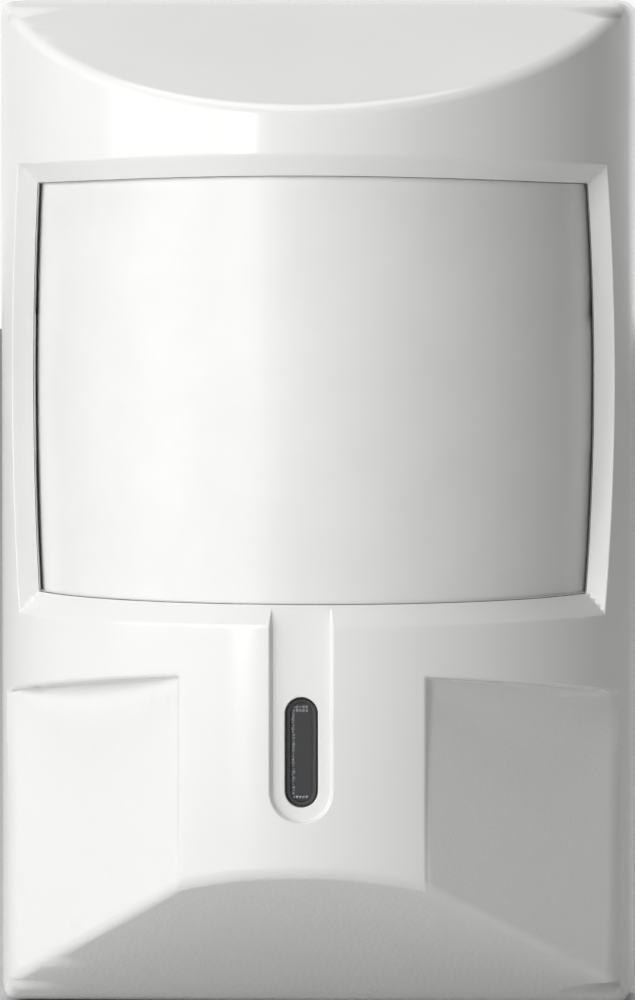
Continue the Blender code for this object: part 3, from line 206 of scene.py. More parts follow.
def cover_field(p, inset=0.0, detail=True):
    """About the distance to the cover, moved in by inset; detail adds the window and the recess."""
    x, y, z = p[:, 0], p[:, 1], p[:, 2]
    side = np.abs(x)
    front = y - FRONT_Y
    round_front = np.hypot(x, y - AXIS_Y) - FRONT_RADIUS + inset
    upper = (-front + TOP_FACET_RUN * (z - TOP_FACET_Z)) / math.hypot(1, TOP_FACET_RUN) + inset
    lower = (-front - BOTTOM_FACET_RUN * (z - BOTTOM_FACET_Z)) / math.hypot(1, BOTTOM_FACET_RUN) + inset
    corner = max(CASE_CORNER - inset, LEAST_CORNER)
    qx = side - (HALF_WIDTH - inset - corner)
    qz = np.abs(z) - (TOP - inset - corner)
    outline = np.hypot(np.maximum(qx, 0), np.maximum(qz, 0)) + np.minimum(np.maximum(qx, qz), 0) - corner
    ledge = (-LEDGE_DRAFT * front - (z - LEDGE_Z)) / math.hypot(1, LEDGE_DRAFT) + inset
    column = side - COLUMN_HALF + inset
    panel = (PANEL_SLOPE * (side - COLUMN_HALF) - (y - PANEL_START) + PANEL_LEAN * (z - LEDGE_Z))
    panel = panel / math.sqrt(1 + PANEL_SLOPE ** 2 + PANEL_LEAN ** 2) + inset
    kept = round_min(round_min(ledge, panel, LEDGE_ROUND), column, COLUMN_ROUND)
    solid = round_max(round_front, kept, PANEL_ROUND)
    solid = round_max(solid, upper, TOP_FACET_ROUND)
    solid = round_max(solid, lower, BOTTOM_FACET_ROUND)
    solid = round_max(solid, outline, OUTLINE_ROUND)
    if detail:
        # the lip's round gets steep towards its sides, so its depth is turned into a distance
        reach = np.minimum(side, 27.0)
        steep = np.hypot(1, reach / arc_y(reach, LIP_RADIUS, 0.0))
        steep = np.where(side > window_half(z), 1.1, steep)
        solid = round_max(solid, (bevel_y(x, z) - y) / steep, BEVEL_ROUND)
        wall = slot_distance(x, z, RECESS_HALF, WINDOW_MIDDLE) + RECESS_DRAFT * front
        recess = round_max(front - RECESS_DEPTH, wall, RECESS_ROUND)
        solid = round_max(solid, -recess, RECESS_ROUND)
        draft = SLOT_DRAFT * (front - RECESS_DEPTH)
        hole = np.maximum(slot_distance(x, z, SLOT_HALF, SLOT_HIGH) + draft, front - SLOT_DEPTH)
        solid = round_max(solid, -hole, SLOT_ROUND)
    return solid


def field_normals(points, **options):
    step = 0.01
    slopes = []
    for axis in range(3):
        shift = np.zeros(3)
        shift[axis] = step
        slopes.append(cover_field(points + shift, **options) - cover_field(points - shift, **options))
    slopes = np.stack(slopes, 1)
    return slopes / np.maximum(np.linalg.norm(slopes, axis=1, keepdims=True), 1e-12)


def cast(targets, levels, start_x=0.0, **options):
    """Where the rays from the seam's plane, at the given heights, through the targets leave the solid."""
    origin = np.stack([start_x + np.zeros_like(levels), np.full_like(levels, SEAM_Y), levels], 1)
    ray = targets - origin
    ray /= np.linalg.norm(ray, axis=1, keepdims=True)
    near = np.full(len(levels), 0.5)
    far = np.full(len(levels), 70.0)
    for _ in range(46):
        middle = (near + far) / 2
        inside = cover_field(origin + middle[:, None] * ray, **options) < 0
        near = np.where(inside, middle, near)
        far = np.where(inside, far, middle)
    return origin + near[:, None] * ray


# ---- the cover's grid: columns turn about the seam's middle line, rows follow the edges ----
CAP_LEVEL = 2.5  # the ends' rays start this far inside the case
BEVEL_LINES = (0, 0.12, 0.5, 1.05, 1.6, 1.95, 2.05, 2.15, 2.25, 2.4)
HOLE_MARGIN = 2.4
PATCH_HALF = 4.2
PATCH_LOW = -31.2
PATCH_HIGH = -16.35
EDGE_COLUMN = 4  # the column that bounds the patch at its side
COLUMN_CORNER = (20.1, 22.4)  # degrees; columns crowd round the column's edge
SIDE_STOPS = ((68.2, 71.8, 7), (71.8, 75.8, 6), (75.8, 78.6, 6), (78.6, 90, 6))


def spread(start, end, cells):
    return [start + (end - start) * i / cells for i in range(1, cells + 1)]


def front_angle(x):
    y = AXIS_Y - np.sqrt(FRONT_RADIUS * FRONT_RADIUS - x * x)
    return np.arctan2(x, SEAM_Y - y)


def column_specs():
    """Right half, middle outward: ("angle", radians) or ("window", distance outside the opening)."""
    angles = [front_angle(x) for x in spread(0, PATCH_HALF, EDGE_COLUMN) + spread(PATCH_HALF, 11.4, 7)]
    angles += [math.radians(a) for a in spread(*COLUMN_CORNER, 18)]
    angles += [front_angle(x) for x in spread(12.9, 26.2, 14)]
    window = [("window", d) for d in BEVEL_LINES]
    side = [a for start, end, cells in SIDE_STOPS for a in spread(start, end, cells)]
    return [("angle", a) for a in angles] + window + [("angle", math.radians(a)) for a in side]


def column_angles(specs, z):
    """Angle of each column at the heights z, rows by columns."""
    out = np.zeros_like(z)
    for i, (kind, value) in enumerate(specs):
        if kind == "angle":
            out[:, i] = value
        else:
            out[:, i] = front_angle(window_half(z[:, i]) + value)
    return out


def front_reach(angle):
    """How far from the seam's middle line the round front or the side wall lies."""
    lead = (AXIS_Y - SEAM_Y) * np.cos(angle)
    round_front = -lead + np.sqrt(lead ** 2 + FRONT_RADIUS ** 2 - (SEAM_Y - AXIS_Y) ** 2)
    return np.minimum(round_front, HALF_WIDTH / np.maximum(np.sin(angle), 1e-6))


def panel_reach(angle, z):
    span = PANEL_SLOPE * COLUMN_HALF + SEAM_Y - PANEL_START - PANEL_LEAN * (z - LEDGE_Z)
    reach = span / (PANEL_SLOPE * np.sin(angle) + np.cos(angle))
    return np.minimum(reach, HALF_WIDTH / np.maximum(np.sin(angle), 1e-6))


def row_heights(angle, inset=0.0):
    """Heights of the wall's rows, bottom to top, for columns at these angles; and named row numbers."""
    cos = np.cos(angle)
    start = SEAM_Y - front_reach(angle) * cos
    in_column = angle <= math.radians(21.3)
    ridge = BOTTOM_FACET_Z - (start - FRONT_Y) / BOTTOM_FACET_RUN
    panel_ridge = np.full_like(angle, -40.0)
    for _ in range(4):
        y = SEAM_Y - panel_reach(angle, panel_ridge) * cos
        panel_ridge = BOTTOM_FACET_Z - (y - FRONT_Y) / BOTTOM_FACET_RUN
    high_end = TOP - inset - CAP_LEVEL
    low_end = -high_end
    ridge = np.maximum(np.where(in_column, ridge, panel_ridge), low_end + 0.8)
    upper_edge = LEDGE_Z - LEDGE_DRAFT * (start - FRONT_Y)
    corner_y = SEAM_Y - panel_reach(angle, np.full_like(angle, LEDGE_Z)) * cos
    lower_edge = LEDGE_Z - LEDGE_DRAFT * (corner_y - FRONT_Y)
    lower_edge = np.minimum(lower_edge, upper_edge - 0.13)
    beside_patch = np.minimum(lower_edge - 0.35, PATCH_HIGH)
    below = np.where(angle < front_angle(PATCH_HALF) + 1e-6, PATCH_HIGH, beside_patch)
    brow = np.minimum(TOP_FACET_Z + (start - FRONT_Y) / TOP_FACET_RUN, high_end - 0.8)
    level = np.full_like(angle, 1.0)
    rows = [low_end * level]
    marks = {}

    def run(end, cells, ease=None):
        begin = rows[-1]
        for i in range(1, cells + 1):
            t = i / cells if ease is None else ease[i - 1]
            rows.append(begin + (end - begin) * t)

    run(np.maximum(ridge - 0.6, low_end + 0.2), 8)
    run(ridge + 0.95, 12)
    run(PATCH_LOW * level, 3)
    marks["patch_low"] = len(rows) - 1
    run(below, 18)
    marks["patch_high"] = len(rows) - 1
    run(lower_edge, 4)
    run(upper_edge, 8, (0.03, 0.1, 0.3, 0.55, 0.8, 0.92, 0.97, 1.0))
    run(upper_edge + 0.45, 5, (0.06, 0.2, 0.4, 0.65, 1.0))
    run((WINDOW_BOTTOM - HOLE_MARGIN) * level, 3)
    marks["margin_low"] = len(rows) - 1
    for d in BEVEL_LINES[-2::-1]:
        rows.append((WINDOW_BOTTOM - d) * level)
    marks["opening_low"] = len(rows) - 1
    run(WINDOW_TOP * level, 26)
    marks["opening_high"] = len(rows) - 1
    for d in BEVEL_LINES[1:]:
        rows.append((WINDOW_TOP + d) * level)
    marks["margin_high"] = len(rows) - 1
    run(brow - 1.1, 4)
    run(brow + 0.6, 12)
    run(high_end * level, 8)
    return np.stack(rows), marks


def end_rows(angles, level, sign, facet_z, run, first, inset):
    """Targets from the last wall row over the end's edge and on to its flat, each a row of points."""
    sin, cos = np.sin(angles), np.cos(angles)
    flat = sign * (TOP - inset)
    flat_reach = SEAM_Y - (FRONT_Y + run * abs(flat - facet_z) + inset * math.hypot(1, run))
    edge = np.minimum(flat_reach / np.maximum(cos, 1e-6), (HALF_WIDTH - inset) / np.maximum(sin, 1e-6))
    begin = np.hypot(first[:, 0], first[:, 1] - SEAM_Y)
    rows = []
    for t in spread(0, 0.78, 13) + [0.82, 0.86, 0.9, 0.94, 0.97, 1.0]:
        rows.append((begin + (edge - begin) * t, level + (flat - level) * t))
    for t in (0.15, 0.3, 0.5, 0.75, 1.0, 1.3, 1.7, 2.3):
        rows.append((edge - t, np.full_like(edge, flat)))
    return [np.stack([reach * sin, SEAM_Y - reach * cos, z + 0 * reach], 1) for reach, z in rows]


def cover_grid(inset=0.0, detail=True):
    """Points of the right half: rows from the bottom flat to the top flat, columns from the middle out."""
    specs = column_specs()
    nominal = column_angles(specs, np.full((1, len(specs)), WINDOW_MIDDLE))[0]
    nominal = np.concatenate([[0.0], nominal])
    specs = [("angle", 0.0)] + specs
    heights, marks = row_heights(nominal, inset)
    shape = heights.shape
    bow = np.zeros((shape[0], 1))
    lower, upper, margin = marks["opening_low"], marks["opening_high"], marks["margin_high"]
    bow[lower:upper + 1, 0] = np.linspace(0, 1, upper - lower + 1)
    bow[upper:margin + 1] = 1
    bow[margin:margin + 5, 0] = np.linspace(1, 0, 5)
    in_window = np.array([kind == "window" for kind, _ in specs])
    beyond = np.array([value if kind == "window" else 0.0 for kind, value in specs])
    found_x = np.tile(front_reach(nominal) * np.sin(nominal), (shape[0], 1))
    for _ in range(4):
        angles = column_angles(specs, heights)
        heights = np.stack([row_heights(angles[j], inset)[0][j] for j in range(shape[0])])
        heights = heights - bow * window_drop(found_x)
        x = np.where(in_window, window_half(heights) + beyond - inset * 0.85, 30.0 * np.sin(angles))
        y = np.where(in_window, SEAM_Y - 1.0, SEAM_Y - 30.0 * np.cos(angles))
        start = np.where(in_window, x, 0.0)
        targets = np.stack([x, y, heights], 2).reshape(-1, 3)
        wall = cast(targets, heights.reshape(-1), start.reshape(-1), inset=inset, detail=detail)
        wall = wall.reshape(*shape, 3)
        found_x = wall[:, :, 0]
    bands = []
    for sign, facet_z, run in ((-1, BOTTOM_FACET_Z, BOTTOM_FACET_RUN), (1, TOP_FACET_Z, TOP_FACET_RUN)):
        row = 0 if sign < 0 else -1
        level = sign * (TOP - inset - CAP_LEVEL)
        band = [cast(t, np.full(len(t), level), inset=inset, detail=detail)
                for t in end_rows(angles[row], level, sign, facet_z, run, wall[row], inset)]
        bands.append(band)
    bottom, top = bands
    points = np.concatenate([np.stack(bottom[::-1]), wall, np.stack(top)])
    marks = {name: row + len(bottom) for name, row in marks.items()}
    return points, marks, specs


class Skin:
    """Points and faces of a right half, each face with the field or direction that its normal follows."""

    def __init__(self):
        self.points = []
        self.faces = []
        self.guides = []

    def add(self, points):
        start = len(self.points)
        self.points.extend(np.asarray(points, float).reshape(-1, 3))
        return np.arange(start, len(self.points))

    def face(self, corners, guide):
        self.faces.append([int(c) for c in corners])
        self.guides.append(guide)

    def strip(self, first, second, guide):
        for i in range(len(first) - 1):
            self.face((first[i], first[i + 1], second[i + 1], second[i]), guide)

    def grid(self, numbers, guide, skip=None, mitres=()):
        for j in range(numbers.shape[0] - 1):
            for i in range(numbers.shape[1] - 1):
                if skip is not None and skip(j, i):
                    continue
                a, b, c, d = numbers[j, i], numbers[j, i + 1], numbers[j + 1, i + 1], numbers[j + 1, i]
                cells = [(a, b, c, d)]
                if (j, i, "falling") in mitres:
                    cells = [(a, b, d), (b, c, d)]
                elif (j, i, "rising") in mitres:
                    cells = [(a, b, c), (a, c, d)]
                for cell in cells:
                    self.face(cell, guide)

    def build(self, name, materials, choose):
        """Mirror the half, turn the faces outward and give each face corner the field's own normal."""
        points = np.array(self.points)
        count = len(points)
        middle = np.abs(points[:, 0]) < 1e-5
        points[middle, 0] = 0
        twin = np.arange(count)
        twin[~middle] = count + np.arange((~middle).sum())
        mirrored = points[~middle] * (-1, 1, 1)
        sizes = np.array([len(face) for face in self.faces])
        ends = np.cumsum(sizes)
        spans = list(zip(ends - sizes, ends))
        flat_index = np.array([v for face in self.faces for v in face])
        normals = np.zeros((len(flat_index), 3))
        face_of = np.repeat(np.arange(len(self.faces)), sizes)
        corner_points = points[flat_index]
        sums = np.zeros((len(self.faces), 3))
        np.add.at(sums, face_of, corner_points)
        centre = sums / np.bincount(face_of)[:, None]
        newell = np.zeros((len(self.faces), 3))
        following = np.concatenate([np.roll(np.arange(a, b), -1) for a, b in spans])
        np.add.at(newell, face_of, np.cross(corner_points, corner_points[following]))
        newell /= np.maximum(np.linalg.norm(newell, axis=1, keepdims=True), 1e-12)
        pulled = corner_points * 0.97 + centre[face_of] * 0.03
        outer, inner = (np.array([g == kind for g in self.guides])[face_of] for kind in ("outer", "inner"))
        normals[outer] = field_normals(pulled[outer])
        normals[inner] = -field_normals(pulled[inner], inset=WALL, detail=False)
        wanted = np.zeros((len(self.faces), 3))
        np.add.at(wanted, face_of, normals)
        for f, guide in enumerate(self.guides):
            if not isinstance(guide, str):
                wanted[f] = guide
        flip = (newell * wanted).sum(1) < 0
        oriented = np.where(flip[:, None], -newell, newell)
        flats = ~(outer | inner)
        normals[flats] = oriented[face_of[flats]]
        all_faces, all_normals, kinds = [], [], []
        for f, (a, b) in enumerate(spans):
            face = self.faces[f]
            order = list(range(a, b))
            if flip[f]:
                face, order = face[::-1], order[::-1]
            all_faces.append(face)
            all_normals.extend(normals[order])
            kinds.append(choose(centre[f], oriented[f]))
        all_faces += [[int(twin[v]) for v in face[::-1]] for face in all_faces]
        kinds *= 2
        for a, b in spans:
            all_normals.extend([n * (-1, 1, 1) for n in all_normals[a:b][::-1]])
        return from_lists(name, np.concatenate([points, mirrored]), all_faces, materials, kinds, all_normals)


def patch_lines():
    """Distance from the recess's middle line and depth of each line that follows its outline."""
    steps = ((2.62, 0), (2.76, 0), (2.84, 0), (2.9, 0.1), (2.97, 0.4), (3.03, 0.66), (3.07, 0.75))
    lines = [(n, RECESS_FLOOR - rise) for n, rise in steps]
    for n in (3.13, 3.22, 3.4, 3.75):
        lines.append((n, AXIS_Y - math.sqrt(FRONT_RADIUS ** 2 - n * n)))
    return lines


def slot_lines():
    steps = ((1.5, 1.5), (1.53, 1.44), (1.58, 0.7), (1.61, 0.1), (1.64, 0), (1.7, 0), (1.82, 0))
    return [(n, RECESS_FLOOR + depth) for n, depth in steps]


def recess_patch(skin, numbers, grid, marks):
    """Fill the middle with lines that follow the recess and the slot; gives the window's lower edge."""
    low, high, opening = marks["patch_low"], marks["patch_high"], marks["opening_low"]
    outer = [numbers[j, EDGE_COLUMN] for j in range(high, low - 1, -1)]
    outer += [numbers[low, i] for i in range(EDGE_COLUMN - 1, -1, -1)]
    outer_points = np.array([skin.points[v] for v in outer])
    drop = np.minimum(outer_points[:, 2] - SLOT_LOW, 0)
    ahead = np.stack([outer_points[:, 0], drop], 1)
    ahead /= np.linalg.norm(ahead, axis=1, keepdims=True)
    base_z = np.maximum(outer_points[:, 2], SLOT_LOW)

    def project(x, y, z):
        targets = np.stack([x, np.broadcast_to(y, x.shape), z], 1)
        return cast(targets, targets[:, 2])

    u_lines = []
    for n, y in patch_lines():
        u_lines.append(skin.add(project(ahead[:, 0] * n, y, base_z + ahead[:, 1] * n)))
    u_lines.append(np.array(outer))
    for first, second in zip(u_lines, u_lines[1:]):
        skin.strip(first, second, "outer")

    inner_x = np.array([0.0, 0.9, 1.8])
    top_nodes = skin.add(project(inner_x, RECESS_FLOOR, np.full(3, PATCH_HIGH)))
    last_ring = np.concatenate([top_nodes, u_lines[0]])
    ring_points = np.array([skin.points[v] for v in last_ring])
    turn = np.zeros(len(last_ring))
    turn[:3] = np.pi / 2 - inner_x / patch_lines()[0][0] * math.radians(40)
    side = slice(3, None)
    lift = np.clip((outer_points[:, 2] - SLOT_HIGH) / (PATCH_HIGH - SLOT_HIGH), 0, 1)
    turn[side] = lift * math.radians(50) + np.arctan2(ahead[:, 1], ahead[:, 0])
    base = np.concatenate([np.full(3, SLOT_HIGH), np.clip(outer_points[:, 2], SLOT_LOW, SLOT_HIGH)])
    rings = []
    for n, y in slot_lines():
        rings.append(skin.add(project(np.cos(turn) * n, y, base + np.sin(turn) * n)))
    start = np.stack([np.cos(turn) * 1.82, base + np.sin(turn) * 1.82], 1)
    end = ring_points[:, (0, 2)]
    for t in (0.33, 0.67):
        mixed = start + (end - start) * t
        rings.append(skin.add(project(mixed[:, 0], RECESS_FLOOR, mixed[:, 1])))
    rings.append(last_ring)
    for first, second in zip(rings, rings[1:]):
        skin.strip(first, second, "outer")
    skin.face(rings[0], (0, -1, 0))

    columns = [(x, RECESS_FLOOR) for x in inner_x] + patch_lines()
    rows = [np.concatenate([top_nodes, [line[0] for line in u_lines]])]
    for j in range(high + 1, opening + 1):
        z = np.full(len(columns), grid[j, 0, 2])
        x = np.array([c[0] for c in columns])
        y = np.array([c[1] for c in columns])
        rows.append(np.concatenate([skin.add(project(x, y, z)), [numbers[j, EDGE_COLUMN]]]))
    skin.grid(np.stack(rows), "outer")
    return rows[-1]


def make_cover_skin(materials):
    skin = Skin()
    points, marks, specs = cover_grid()
    numbers = skin.add(points.reshape(-1, 3)).reshape(points.shape[:2])
    first = next(i for i, (kind, _) in enumerate(specs) if kind == "window")
    low, opening, roof = (marks[k] for k in ("patch_low", "opening_low", "opening_high"))

    def skip(j, i):
        in_window = opening <= j < roof and i < first
        in_patch = low <= j < opening and i < EDGE_COLUMN
        return in_window or in_patch

    steps = len(BEVEL_LINES) - 1
    mitres = {(opening - 1 - k, first + k, "falling") for k in range(steps)}
    mitres |= {(roof + k, first + k, "rising") for k in range(steps)}
    skin.grid(numbers, "outer", skip, mitres)
    lower_edge = recess_patch(skin, numbers, points, marks)

    # lip, lens seat and the edge of the inner skin's hole
    loop = list(lower_edge) + [numbers[opening, i] for i in range(EDGE_COLUMN + 1, first)]
    loop += [numbers[j, first] for j in range(opening, roof + 1)]
    loop += [numbers[roof, i] for i in range(first - 1, -1, -1)]
    edge = np.array([skin.points[v] for v in loop])

    def moved(out, radius):
        """The loop, grown or shrunk in the window's plane and laid on a cylinder."""
        x = edge[:, 0] * (1 + out / window_half(edge[:, 2]))
        z = WINDOW_MIDDLE + (edge[:, 2] - WINDOW_MIDDLE) * (1 + out / WINDOW_HALF_HEIGHT)
        return np.stack([x, arc_y(x, radius, LIP_AXIS_Y), z], 1)

    chain = [np.array(loop), skin.add(moved(-0.05, LIP_RADIUS - 0.05)), skin.add(moved(-0.07, SEAT_RADIUS))]
    wide = window_half(edge[:, 2])
    x = edge[:, 0] * (wide + HOLE_MARGIN - WALL * 0.85) / wide
    z = WINDOW_MIDDLE + (edge[:, 2] - WINDOW_MIDDLE) * (1 + HOLE_MARGIN / WINDOW_HALF_HEIGHT)
    behind = cast(np.stack([x, SEAM_Y - 1 + 0 * x, z], 1), z, x, inset=WALL, detail=False)
    seat = behind - (0, 0.3, 0)
    chain += [skin.add(seat), skin.add(behind)]
    for k in range(4):
        for i in range(len(loop) - 1):
            toward = (0, AXIS_Y, WINDOW_MIDDLE) - edge[i]
            if k == 2:  # the step of the seat looks level
                toward[2] = 0
            quad = (chain[k][i], chain[k][i + 1], chain[k + 1][i + 1], chain[k + 1][i])
            skin.face(quad, tuple(toward))

    # inner skin on fewer lines
    inside, marks_in, _ = cover_grid(inset=WALL, detail=False)
    keep_rows = sorted({*range(0, inside.shape[0], 3), inside.shape[0] - 1, marks_in["margin_low"],
                        marks_in["margin_high"]})
    last = first + steps
    keep_columns = sorted({*range(0, inside.shape[1], 3), inside.shape[1] - 1, last})
    coarse = inside[np.ix_(keep_rows, keep_columns)]
    within = skin.add(coarse.reshape(-1, 3)).reshape(coarse.shape[:2])
    hole_rows = (keep_rows.index(marks_in["margin_low"]), keep_rows.index(marks_in["margin_high"]))
    hole_column = keep_columns.index(last)
    skin.grid(within, "inner", lambda j, i: hole_rows[0] <= j < hole_rows[1] and i < hole_column)

    # flat ends, the screw's pocket and the rim against the tray
    pocket_half, pocket_front, notch, screw_y = 3.8, SEAM_Y - 6.9, 1.75, SEAM_Y - 3.1
    inner_z = WALL - TOP

    def level(plan, z):
        return skin.add([(x, y, z) for x, y in plan])

    pocket_plan = [(pocket_half, SEAM_Y), (pocket_half, pocket_front), (0, pocket_front)]
    p_out, p_in = level(pocket_plan, -TOP), level(pocket_plan, inner_z)
    skin.face([*numbers[0], *p_out], (0, 0, -1))
    skin.face((p_out[0], p_out[1], p_in[1], p_in[0]), (-1, 0, 0))
    skin.face((p_out[1], p_out[2], p_in[2], p_in[1]), (0, 1, 0))
    turns = [math.radians(d) for d in range(0, 91, 15)]
    notch_plan = [(notch, SEAM_Y)] + [(notch * math.cos(a), screw_y - notch * math.sin(a)) for a in turns]
    n_in = level(notch_plan, inner_z)
    skin.face([*within[0], *n_in], (0, 0, 1))
    top_out = skin.add([(0, SEAM_Y, TOP)])
    top_in = skin.add([(0, SEAM_Y, TOP - WALL)])
    skin.face([*numbers[-1], *top_out], (0, 0, 1))
    skin.face([*within[-1], *top_in], (0, 0, -1))
    rim = [p_out[0], *numbers[:, -1], *top_out, *top_in, *within[::-1, -1], p_in[0]]
    skin.face(rim, (0, 1, 0))

    # thick place above the cover screw, with the notch that slides off it
    pad_half, pad_front, pad_top = 5.5, SEAM_Y - 7.9, inner_z + WALL
    pad_plan = [(pad_half, SEAM_Y), (pad_half, pad_front), (0, pad_front)]
    lower, upper = level(pad_plan, inner_z + 0.05), level(pad_plan, pad_top)
    lower_n, upper_n = level(notch_plan, inner_z + 0.05), level(notch_plan, pad_top)
    skin.face([*upper, *upper_n[::-1]], (0, 0, 1))
    skin.face((lower[0], lower[1], upper[1], upper[0]), (1, 0, 0))
    skin.face((lower[1], lower[2], upper[2], upper[1]), (0, -1, 0))
    skin.face((lower[0], lower_n[0], upper_n[0], upper[0]), (0, 1, 0))
    for i in range(len(notch_plan) - 1):
        skin.face((lower_n[i], lower_n[i + 1], upper_n[i + 1], upper_n[i]), (-1, 0.5, 0))

    def choose(centre, normal):
        below = centre[2] < LEDGE_Z - LEDGE_DRAFT * (centre[1] - FRONT_Y) - 0.15
        panel = below and abs(centre[0]) > COLUMN_HALF + 0.15 and normal[1] < -0.3
        facet = centre[2] < BOTTOM_FACET_Z + 0.2 and normal[2] < -0.6
        return 1 if panel or facet else 0

    return skin.build("cover_shell", materials, choose)


# ---- materials ----
def map_range(tree, source, low, high, start, end):
    """Output of a node that maps source from low..high to start..end."""
    node = tree.nodes.new("ShaderNodeMapRange")
    for name, value in (("From Min", low), ("From Max", high), ("To Min", start), ("To Max", end)):
        node.inputs[name].default_value = value
    tree.links.new(source, node.inputs["Value"])
    return node.outputs["Result"]


class Nodes:
    """Small helper for building a node tree around one Principled shader."""

    def __init__(self, name, colour, roughness, metallic=0.0, **sockets):
        self.material = bpy.data.materials.new(name)
        self.material.use_nodes = True
        self.tree = self.material.node_tree
        self.shader = self.tree.nodes["Principled BSDF"]
        self.set(self.shader, {"Base Color": (*colour, 1.0), "Roughness": roughness, "Metallic": metallic})
        self.set(self.shader, sockets)
        self.colour = colour
        self.roughness = roughness
        coordinates = self.add("TexCoord")
        self.position = coordinates.outputs["Object"]

    def add(self, kind):
        return self.tree.nodes.new("ShaderNode" + kind)

    def join(self, source, target):
        self.tree.links.new(source, target)

    @staticmethod
    def set(node, values):
        for name, value in values.items():
            node.inputs[name.replace("_", " ")].default_value = value

    def noise(self, scale, detail=3.0, rough=0.5, stretch=None):
        texture = self.add("TexNoise")
        self.set(texture, {"Scale": scale, "Detail": detail, "Roughness": rough})
        source = self.position
        if stretch:
            mapping = self.add("Mapping")
            mapping.inputs["Scale"].default_value = stretch
            self.join(source, mapping.inputs["Vector"])
            source = mapping.outputs["Vector"]
        self.join(source, texture.inputs["Vector"])
        return texture.outputs["Fac"]

    def ramp(self, source, low, high, start, end):
        return map_range(self.tree, source, low, high, start, end)

    def math(self, operation, *values):
        node = self.add("Math")
        node.operation = operation
        for slot, value in zip(node.inputs, values):
            if isinstance(value, (int, float)):
                slot.default_value = value
            else:
                self.join(value, slot)
        return node.outputs[0]

    def tint(self, factor, other):
        """Colour mixed towards another by factor."""
        mix = self.add("Mix")
        mix.data_type = "RGBA"
        mix.inputs["A"].default_value = (*self.colour, 1.0)
        mix.inputs["B"].default_value = (*other, 1.0)
        self.join(factor, mix.inputs["Factor"])
        self.join(mix.outputs["Result"], self.shader.inputs["Base Color"])

    def rough(self, source, change):
        result = self.ramp(source, 0.3, 0.7, self.roughness - change, self.roughness + change)
        self.join(result, self.shader.inputs["Roughness"])

    def bump(self, source, strength, distance):
        node = self.add("Bump")
        node.inputs["Strength"].default_value = strength
        node.inputs["Distance"].default_value = distance
        self.join(source, node.inputs["Height"])
        if self.shader.inputs["Normal"].links:
            self.join(self.shader.inputs["Normal"].links[0].from_socket, node.inputs["Normal"])
        self.join(node.outputs["Normal"], self.shader.inputs["Normal"])


def plastic(name, colour, roughness, grain=600.0, strength=0.12, **sockets):
    """Moulded plastic: faint long waves, fine grain and slightly uneven colour."""
    nodes = Nodes(name, colour, roughness, **sockets)
    nodes.tint(nodes.ramp(nodes.noise(60.0), 0.35, 0.7, 0, 1), [c * 0.96 for c in colour])
    nodes.rough(nodes.noise(180.0, 4.0), change=roughness * 0.15)
    nodes.bump(nodes.noise(grain * 4, 2.0), strength, 0.00002)
    return nodes.material


def metal(name, colour, roughness, stretch=(1, 1, 1)):
    """Plated or drawn metal with fine lines and slight stains."""
    nodes = Nodes(name, colour, roughness, 1.0)
    nodes.tint(nodes.ramp(nodes.noise(220.0, 4.0), 0.4, 0.75, 0, 1), [c * 0.82 for c in colour])
    nodes.rough(nodes.noise(500.0, 4.0, stretch=stretch), change=roughness * 0.3)
    nodes.bump(nodes.noise(1800.0, 3.0, stretch=stretch), 0.15, 0.00002)
    return nodes.material


def cover_gloss():
    """Glossy ABS: nearly smooth, with the faint waves of a thin moulding."""
    nodes = Nodes("cover_gloss", (0.83, 0.83, 0.82), 0.17, Specular_IOR_Level=0.5)
    nodes.tint(nodes.ramp(nodes.noise(45.0, 3.0), 0.35, 0.7, 0, 1), (0.80, 0.80, 0.785))
    nodes.rough(nodes.noise(140.0, 4.0), change=0.03)
    nodes.bump(nodes.noise(70.0, 1.0), 0.10, 0.0002)
    nodes.bump(nodes.noise(2600.0, 2.0), 0.05, 0.00002)
    return nodes.material


def cover_grain():
    """Spark-eroded grain on the panels and the lower facet, with a few light scuffs."""
    nodes = Nodes("cover_grain", (0.83, 0.83, 0.82), 0.42, Specular_IOR_Level=0.45)
    scuff = nodes.math("POWER", nodes.ramp(nodes.noise(120.0, 6.0, 0.65), 0.62, 0.78, 0, 1), 2.0)
    nodes.tint(nodes.math("MINIMUM", nodes.math("MULTIPLY", scuff, 0.5), 0.5), (0.66, 0.66, 0.65))
    nodes.rough(nodes.noise(300.0, 4.0), change=0.05)
    nodes.bump(nodes.noise(2400.0, 3.0, 0.6), 0.8, 0.00005)
    nodes.bump(nodes.noise(1300.0, 2.0), 0.35, 0.00004)
    return nodes.material


# ---- stage, lights and camera ----
def make_stage():
    size = 1.6
    mesh = bpy.data.meshes.new("floor")
    z = cad_box[0][2] - 0.0002
    corners = [(-size, -size, z), (size, -size, z), (size, size, z), (-size, size, z)]
    mesh.from_pydata(corners, [], [(0, 1, 2, 3)])
    mesh.materials.append(plastic("floor_paper", (0.62, 0.62, 0.62), 0.7, grain=200.0))
    link("floor", mesh)

    world = bpy.data.worlds.new("studio")
    world.use_nodes = True
    tree = world.node_tree
    background = tree.nodes["Background"]
    background.inputs["Color"].default_value = (1.0, 1.0, 1.0, 1.0)
    direction = tree.nodes.new("ShaderNodeTexCoord")
    split = tree.nodes.new("ShaderNodeSeparateXYZ")
    tree.links.new(direction.outputs["Generated"], split.inputs[0])
    strength = map_range(tree, split.outputs["Y"], 0.45, 0.9, 0.18, 0.95)
    tree.links.new(strength, background.inputs["Strength"])
    bpy.context.scene.world = world


def area_light(name, centre, aim, size, power):
    light = bpy.data.lights.new(name, "AREA")
    light.shape = "RECTANGLE"
    light.size, light.size_y = size
    light.energy = power
    thing = bpy.data.objects.new(name, light)
    bpy.context.scene.collection.objects.link(thing)
    thing.location = centre
    direction = Vector(aim) - Vector(centre)
    thing.rotation_euler = direction.to_track_quat("-Z", "Y").to_euler()
    thing.visible_camera = False


